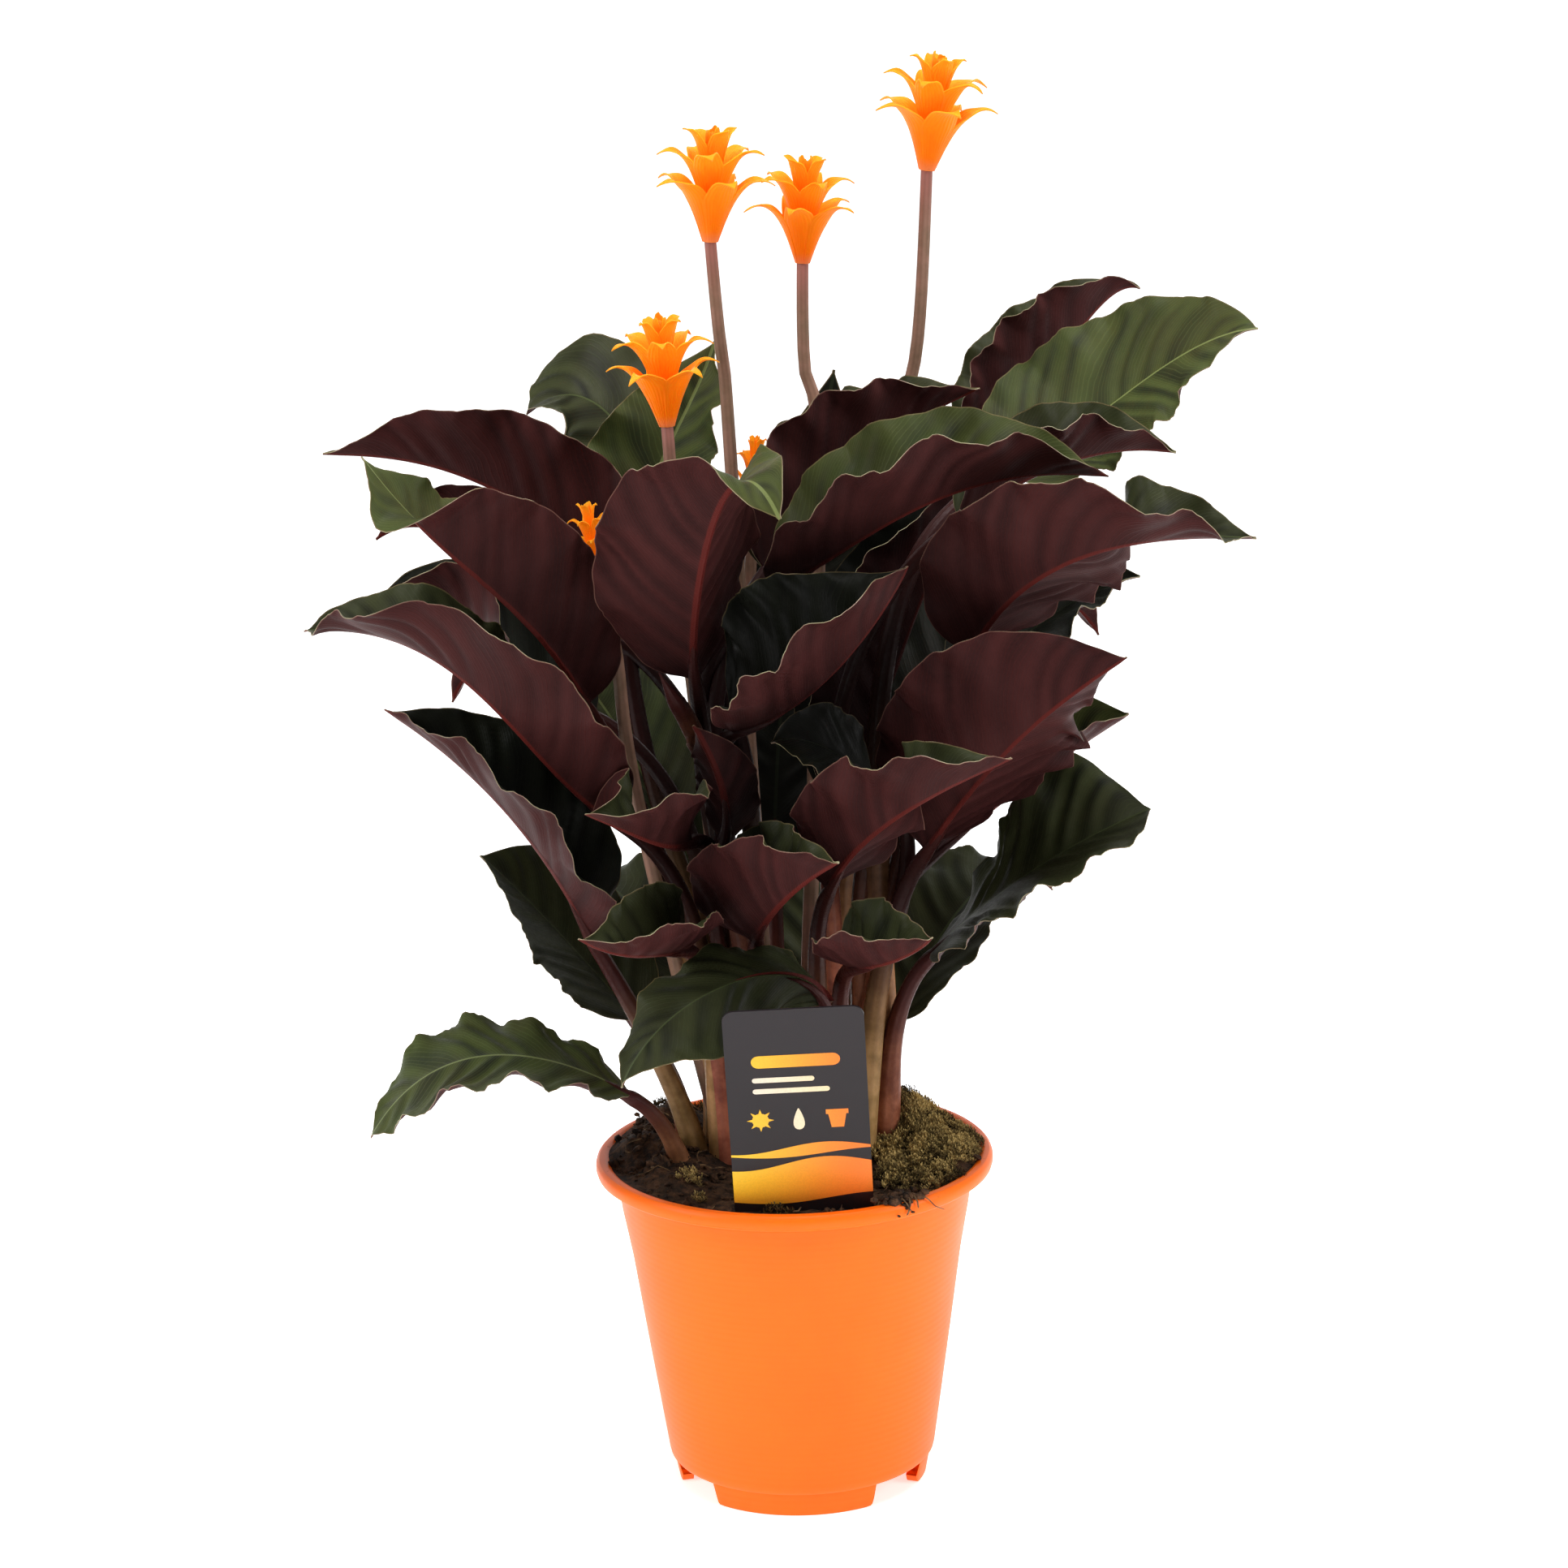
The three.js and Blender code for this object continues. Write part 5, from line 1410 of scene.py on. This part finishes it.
def rootlet_line(draw):
    """A loose root that wanders over the soil."""
    x, y = soil_spot(draw, SOIL_RADIUS - 3)
    heading = draw.uniform(0, 6.28)
    centres = []
    for _ in range(ROOTLET["turns"]):
        centres.append(Vector((x, y, rough_height(x, y) + draw.uniform(0.2, 2.2))))
        heading += draw.uniform(-0.9, 0.9)
        stepped = x + ROOTLET["step"] * math.cos(heading), y + ROOTLET["step"] * math.sin(heading)
        if math.hypot(*stepped) < SOIL_RADIUS:
            x, y = stepped
    return centres


def hanging_line(draw):
    """A root that hangs from the clod on the lip down the outside of the pot."""
    turn = math.radians(CLOD["angle"] + draw.gauss(0, 2.2))
    sway = draw.gauss(0, 0.03)
    drop = draw.uniform(0.5, 6.5)
    line = [
        (66, 120.3, 0), (68.6, 121.2, sway / 2), (70.5, 119.6, sway),
        (70.9, 118 - drop * 0.4, sway * 1.6), (71.0, 118 - drop, sway * 2.5 + draw.gauss(0, 0.01)),
    ]
    return [
        Vector((away * math.cos(turn + off), away * math.sin(turn + off), height))
        for away, height, off in line
    ]


def build_rootlets(draw, count):
    """Loose rootlets lying over the soil, and a few that hang from the clod on the lip."""
    pieces = []
    points = ROOTLET["points"]
    side_way = np.repeat([[0.2, 0.3, 1.0]], points, axis=0)
    for index in range(count):
        centres = hanging_line(draw) if index < CLOD["roots"] else rootlet_line(draw)
        line = along_points([tuple(centre) for centre in centres], np.linspace(0, 1, points))
        radii = np.full(points, draw.uniform(0.12, 0.32))
        radii[0] = radii[-1] = 0
        pieces.append(tube("rootlet_%d" % index, line, radii, ROOTLET["sides"], side_way))
    piece = join("rootlets", pieces)
    give_materials(piece, bpy.data.materials["root_fibre"])
    smooth(piece, 70)
    return settle(piece, "soil")


# ------------------------------------------------------------------ label


def arc(centre, radius, start, sweep):
    """Points along part of a circle, with its angles in degrees."""
    steps = 8
    turns = [math.radians(start + step * sweep / steps) for step in range(steps + 1)]
    return [(centre[0] + radius * math.cos(turn), centre[1] + radius * math.sin(turn)) for turn in turns]


def card_outline():
    """The plant label's edge, in mm, standing on its foot line, with rounded top corners."""
    half, top, corner = LABEL["width"] / 2, LABEL["showing"], LABEL["corner"]
    points = [(0, -LABEL["buried"]), (half, -LABEL["shoulder"])]
    points += arc((half - corner, top - corner), corner, 0, 90)
    points += arc((corner - half, top - corner), corner, 90, 90)
    points.append((-half, -LABEL["shoulder"]))
    return points


def plate(name, points, low, high, material):
    """A flat plate with an outline in x and y, between two heights, all in mm."""
    mesh = bpy.data.meshes.new(name)
    mesh.from_pydata([(x * MM, y * MM, low * MM) for x, y in points], [], [tuple(range(len(points)))])
    piece = placed(name, mesh)
    raised = {"value": (0, 0, (high - low) * MM)}
    in_edit_mode(
        piece, lambda: bpy.ops.mesh.extrude_region_move(TRANSFORM_OT_translate=raised), face_outwards
    )
    give_materials(piece, material)
    return piece


def bar_outline(left, right, low, high):
    """A bar with rounded ends."""
    radius = (high - low) / 2
    middle = (low + high) / 2
    return arc((right - radius, middle), radius, -90, 180) + arc((left + radius, middle), radius, 90, 180)


def band_outline(low, high, swell):
    """A waved band from edge to edge of the card."""
    half = LABEL["width"] / 2 - 0.02
    across = np.linspace(-half, half, 25)
    upper = [(x, high + swell * math.sin(x / half * 2.6 + 0.6)) for x in across]
    lower = [(x, low + swell * 0.7 * math.sin(x / half * 2.2 - 0.8)) for x in reversed(across)]
    return lower + upper


def drop_outline(x, y, size):
    """A drop of water."""
    points, steps = [], 20
    for step in range(steps):
        angle = 2 * math.pi * step / steps
        narrow = (1 - math.sin(angle)) / 2
        half = size * 0.62 * math.cos(angle) * (0.25 + 0.75 * narrow)
        points.append((x + half, y + size * math.sin(angle)))
    return points


def sun_outline(x, y, size):
    """A sun with eight short rays."""
    points, steps = [], 32
    for step in range(steps):
        angle = 2 * math.pi * step / steps
        away = size * (1.0 if step % 4 < 1 else 0.62)
        points.append((x + away * math.cos(angle), y + away * math.sin(angle)))
    return points


def pot_outline(x, y, size):
    """A small pot with its rim."""
    return [(x - 0.55 * size, y - size), (x + 0.55 * size, y - size), (x + 0.8 * size, y + 0.45 * size),
            (x + size, y + 0.45 * size), (x + size, y + 0.95 * size), (x - size, y + 0.95 * size),
            (x - size, y + 0.45 * size), (x - 0.8 * size, y + 0.45 * size)]


def build_label():
    """The printed label: bars, a sun, a drop, a pot and two waves on a dark card."""
    face = LABEL["thickness"] / 2
    ground, warm, pale = (bpy.data.materials[name] for name in ("label_ground", "label_warm", "label_pale"))
    prints = [
        (band_outline(6, 21, 2.4), warm),
        (band_outline(25, 27.5, 2.0), warm),
        (bar_outline(-15, 15, 61, 66), warm),
        (bar_outline(-15, 6, 55, 57), pale),
        (bar_outline(-15, 11, 50.5, 52.5), pale),
        (sun_outline(-13, 39.5, 4.6), warm),
        (drop_outline(0, 39.5, 4.4), pale),
        (pot_outline(13, 39.2, 3.8), warm),
    ]
    pieces = [plate("label_card", card_outline(), -face, face, ground)]
    low, high = face - LABEL["ink"], face + LABEL["ink"]
    for index, (points, material) in enumerate(prints):
        pieces.append(plate("label_print_%d" % index, points, low, high, material))
    label = join("label_card", pieces)
    roll = Matrix.Rotation(math.radians(LABEL["roll"]), 4, "Z")
    stand = Matrix.Rotation(math.radians(90 + LABEL["lean"]), 4, "X")
    label.data.transform(Matrix.Translation(Vector(LABEL["foot"]) * MM) @ stand @ roll)
    smooth(label, 30)
    return settle(label, "label", "label")


# ------------------------------------------------------------------ camera and studio


def build_camera():
    """The camera, from in front of the plant and a little above it."""
    data = bpy.data.cameras.new("plant_camera")
    data.sensor_width = 36
    data.lens = CAMERA["lens"]
    camera = placed("plant_camera", data)
    pitch = Matrix.Rotation(math.radians(90 - CAMERA["pitch"]), 4, "X")
    roll = Matrix.Rotation(math.radians(-CAMERA["roll"]), 4, "Z")
    camera.matrix_world = Matrix.Translation(CAMERA["place"]) @ pitch @ roll
    bpy.context.scene.camera = camera


def build_backdrop():
    """A pale floor that sweeps up far behind the plant."""
    start, end, rise = FLOOR["bend_start"], FLOOR["bend_end"], FLOOR["bend_rise"]

    def surface(u, v):
        run = u * FLOOR["length"] + FLOOR["front"]
        bend = np.clip((run - start) / (end - start), 0, 1)
        height = np.where(run > end, run - end + rise, rise * bend**2) * (run > start)
        back = np.minimum(run, end) + FLOOR["bend_push"] * bend
        return np.stack([v * FLOOR["half_width"], back, height], axis=-1)

    floor = grid("studio_floor", 90, 4, surface)
    material, tree, shader = new_material(
        "studio_paper", roughness=0.9, specular_ior_level=0.1, emission_strength=0.6
    )
    shade = speckle(tree, 3, 2)
    tree.links.new(mix(tree, shade, srgb("#F4F4F3"), srgb("#F8F8F8")), shader.inputs["Base Color"])
    give_materials(floor, material)
    smooth(floor, 40)


def build_lamp(name, place, size, power):
    """A round soft lamp, turned towards the middle of the plant."""
    data = bpy.data.lights.new(name, "AREA")
    data.shape = "DISK"
    data.size = size
    data.energy = power
    lamp = placed(name, data)
    way = Vector(PLANT_MIDDLE) - Vector(place)
    lamp.matrix_world = Matrix.Translation(place) @ way.to_track_quat("-Z", "Y").to_matrix().to_4x4()


def build_studio(studio):
    """The floor, three soft lamps and pale surroundings."""
    build_backdrop()
    for name, place, size, power in LAMPS:
        build_lamp(name, place, size, power * studio.brightness)
    world = bpy.data.worlds.new("studio_light")
    world.use_nodes = True
    tree = world.node_tree
    sky = tree.nodes["Background"]
    sky.inputs["Color"].default_value = (1, 1, 1, 1)
    # The surroundings light the plant softly, and are plain white where they show past the floor.
    glow = SURROUNDINGS * studio.brightness
    seen = node(tree, "LightPath").outputs["Is Camera Ray"]
    tree.links.new(maths(tree, "MULTIPLY_ADD", seen, 1 - glow, glow), sky.inputs["Strength"])
    bpy.context.scene.world = world
    bpy.context.scene.view_settings.view_transform = "Standard"


# ------------------------------------------------------------------ what a user may change


class CalatheaLeafSettings(bpy.types.PropertyGroup):
    """How finely the blades are made, how they are waved, and their colours"""

    blade_step: FloatProperty(
        name="Blade step", description="Length of one row of a blade's faces",
        default=1.25 * MM, min=0.5 * MM, subtype="DISTANCE", unit="LENGTH",
    )
    blade_columns: IntProperty(
        name="Blade columns", description="Columns of faces across a blade", default=34, min=8, max=80
    )
    pleat_height: FloatProperty(
        name="Pleat height", description="How far the pleats along the side veins stand up",
        default=0.85 * MM, subtype="DISTANCE", unit="LENGTH",
    )
    ruffle_height: FloatProperty(
        name="Ruffle height", description="Height of the fine ruffles along the margin",
        default=1.1 * MM, subtype="DISTANCE", unit="LENGTH",
    )
    crimp_height: FloatProperty(
        name="Crimp height", description="Height of the small crimps between the ruffles",
        default=0.45 * MM, subtype="DISTANCE", unit="LENGTH",
    )
    green: FloatVectorProperty(
        name="Green", description="Upper side of a leaf in full light",
        size=4, min=0, max=1, subtype="COLOR", default=srgb("#475029"),
    )
    maroon: FloatVectorProperty(
        name="Maroon", description="Underside of a leaf",
        size=4, min=0, max=1, subtype="COLOR", default=srgb("#432221"),
    )


class CalatheaPotSettings(bpy.types.PropertyGroup):
    """The pot and what lies on its soil"""

    colour: FloatVectorProperty(
        name="Pot colour", description="The pot's plastic",
        size=4, min=0, max=1, subtype="COLOR", default=srgb("#FF7010"),
    )
    crumbs: IntProperty(name="Peat crumbs", description="Lumps of peat on the soil", default=1500, min=0)
    moss: IntProperty(name="Moss shoots", description="Shoots in the moss tufts", default=8000, min=0)
    rootlets: IntProperty(name="Rootlets", description="Loose rootlets on the soil", default=90, min=6)


class CalatheaStudioSettings(bpy.types.PropertyGroup):
    """The light"""

    brightness: FloatProperty(
        name="Brightness", description="Strength of all the studio lights",
        default=1.0, min=0, max=4, subtype="FACTOR",
    )


# ------------------------------------------------------------------ operators


class CALATHEA_OT_studio(bpy.types.Operator):
    """Set up the camera, the pale floor and the soft lights"""

    bl_idname = "calathea.studio"
    bl_label = "Studio"

    def execute(self, context):
        build_camera()
        build_studio(context.scene.calathea_studio)
        return {"FINISHED"}


class CALATHEA_OT_finishes(bpy.types.Operator):
    """Make the finishes of the plant, its soil and label"""

    bl_idname = "calathea.finishes"
    bl_label = "Finishes"

    def execute(self, context):
        leaf = context.scene.calathea_leaf
        make_blade_marks()
        make_mottle()
        make_heart_shade()
        green = tuple(leaf.green)
        maroon = tuple(leaf.maroon)
        # Lit, half-lit and shaded copies of one upper side: painted light and shade.
        leaf_top("leaf_top_light", green, srgb("#20261A"), srgb("#453F20"), srgb("#7C8650"), 0.5)
        leaf_top("leaf_top_mid", srgb("#3A3E25"), srgb("#13160D"), srgb("#2A2617"), srgb("#485130"), 0.46)
        leaf_top("leaf_top_dark", srgb("#191C13"), srgb("#090B08"), srgb("#17150E"), srgb("#293020"), 0.44)
        leaf_underside("leaf_underside", maroon, srgb("#1E0F0F"), srgb("#561F1B"), 0.5)
        leaf_edge()
        stalk_skin()
        flower_stalk_skin()
        bract_skin()
        peat()
        moss()
        root_fibre()
        half = LABEL["width"] / 2 * MM
        printed_card("label_ground", srgb("#1E1A1C"), srgb("#272225"), 0.13, 0.2, axis=2)
        printed_card("label_warm", srgb("#F4C433"), srgb("#F07C2A"), -half, half)
        printed_card("label_pale", srgb("#E8DCCB"), srgb("#F2D9A8"), -half, half)
        return {"FINISHED"}


class CALATHEA_OT_pot(bpy.types.Operator):
    """Mould the orange pot with its lip, feet and drain slots"""

    bl_idname = "calathea.pot"
    bl_label = "Pot"

    def execute(self, context):
        build_pot(pot_plastic(tuple(context.scene.calathea_pot.colour)))
        return {"FINISHED"}


class CALATHEA_OT_soil(bpy.types.Operator):
    """Fill the pot with peat, crumbs, moss and rootlets"""

    bl_idname = "calathea.soil"
    bl_label = "Soil"

    def execute(self, context):
        settings = context.scene.calathea_pot
        draw = random.Random(SEEDS["soil"])
        noise.seed_set(SEEDS["soil"])
        build_soil()
        build_crumbs(draw, settings.crumbs)
        build_moss(draw, settings.moss)
        build_rootlets(draw, settings.rootlets)
        return {"FINISHED"}


class CALATHEA_OT_label(bpy.types.Operator):
    """Stand the printed plant label in the soil"""

    bl_idname = "calathea.label"
    bl_label = "Label"

    def execute(self, context):
        build_label()
        return {"FINISHED"}


class CALATHEA_OT_stems(bpy.types.Operator):
    """Grow the leaf stalks, the flower stalks and the rolled shoot"""

    bl_idname = "calathea.stems"
    bl_label = "Stems"

    def execute(self, context):
        draw = random.Random(SEEDS["stems"])
        pieces = [build_leaf_stalk(leaf, draw) for leaf in LEAVES]
        pieces += [build_flower_stalk(flower) for flower in FLOWERS]
        stems = join("stems_and_stalks", [*pieces, build_shoot()])
        smooth(stems, 60)
        settle(stems, "stems", "stems")
        return {"FINISHED"}


class CALATHEA_OT_leaves(bpy.types.Operator):
    """Grow every leaf blade"""

    bl_idname = "calathea.leaves"
    bl_label = "Leaves"

    def execute(self, context):
        for leaf in LEAVES:
            build_leaf(leaf, context.scene.calathea_leaf)
        return {"FINISHED"}


class CALATHEA_OT_blooms(bpy.types.Operator):
    """Open the flower heads in their tiers of bracts"""

    bl_idname = "calathea.blooms"
    bl_label = "Blooms"

    def execute(self, context):
        draw = random.Random(SEEDS["blooms"])
        for flower in FLOWERS:
            build_bloom(flower, draw)
        return {"FINISHED"}


OPERATORS = (
    CALATHEA_OT_studio,
    CALATHEA_OT_finishes,
    CALATHEA_OT_pot,
    CALATHEA_OT_soil,
    CALATHEA_OT_label,
    CALATHEA_OT_stems,
    CALATHEA_OT_leaves,
    CALATHEA_OT_blooms,
)


class CALATHEA_PT_panel(bpy.types.Panel):
    """The calathea's pieces and settings"""

    bl_label = "Calathea"
    bl_idname = "CALATHEA_PT_panel"
    bl_space_type = "VIEW_3D"
    bl_region_type = "UI"
    bl_category = "Calathea"

    def draw(self, context):
        for group in SETTINGS:
            settings = getattr(context.scene, group)
            box = self.layout.box()
            for name in settings.__annotations__:
                box.prop(settings, name)
        for operator in OPERATORS:
            self.layout.operator(operator.bl_idname)


SETTINGS = {
    "calathea_leaf": CalatheaLeafSettings,
    "calathea_pot": CalatheaPotSettings,
    "calathea_studio": CalatheaStudioSettings,
}
CLASSES = (*SETTINGS.values(), *OPERATORS, CALATHEA_PT_panel)


def register():
    for made in CLASSES:
        bpy.utils.register_class(made)
    for name, group in SETTINGS.items():
        setattr(bpy.types.Scene, name, PointerProperty(type=group))


def unregister():
    for name in SETTINGS:
        delattr(bpy.types.Scene, name)
    for made in reversed(CLASSES):
        bpy.utils.unregister_class(made)


def main():
    register()
    for operator in OPERATORS:
        group, name = operator.bl_idname.split(".")
        getattr(getattr(bpy.ops, group), name)()


if __name__ == "__main__":
    main()
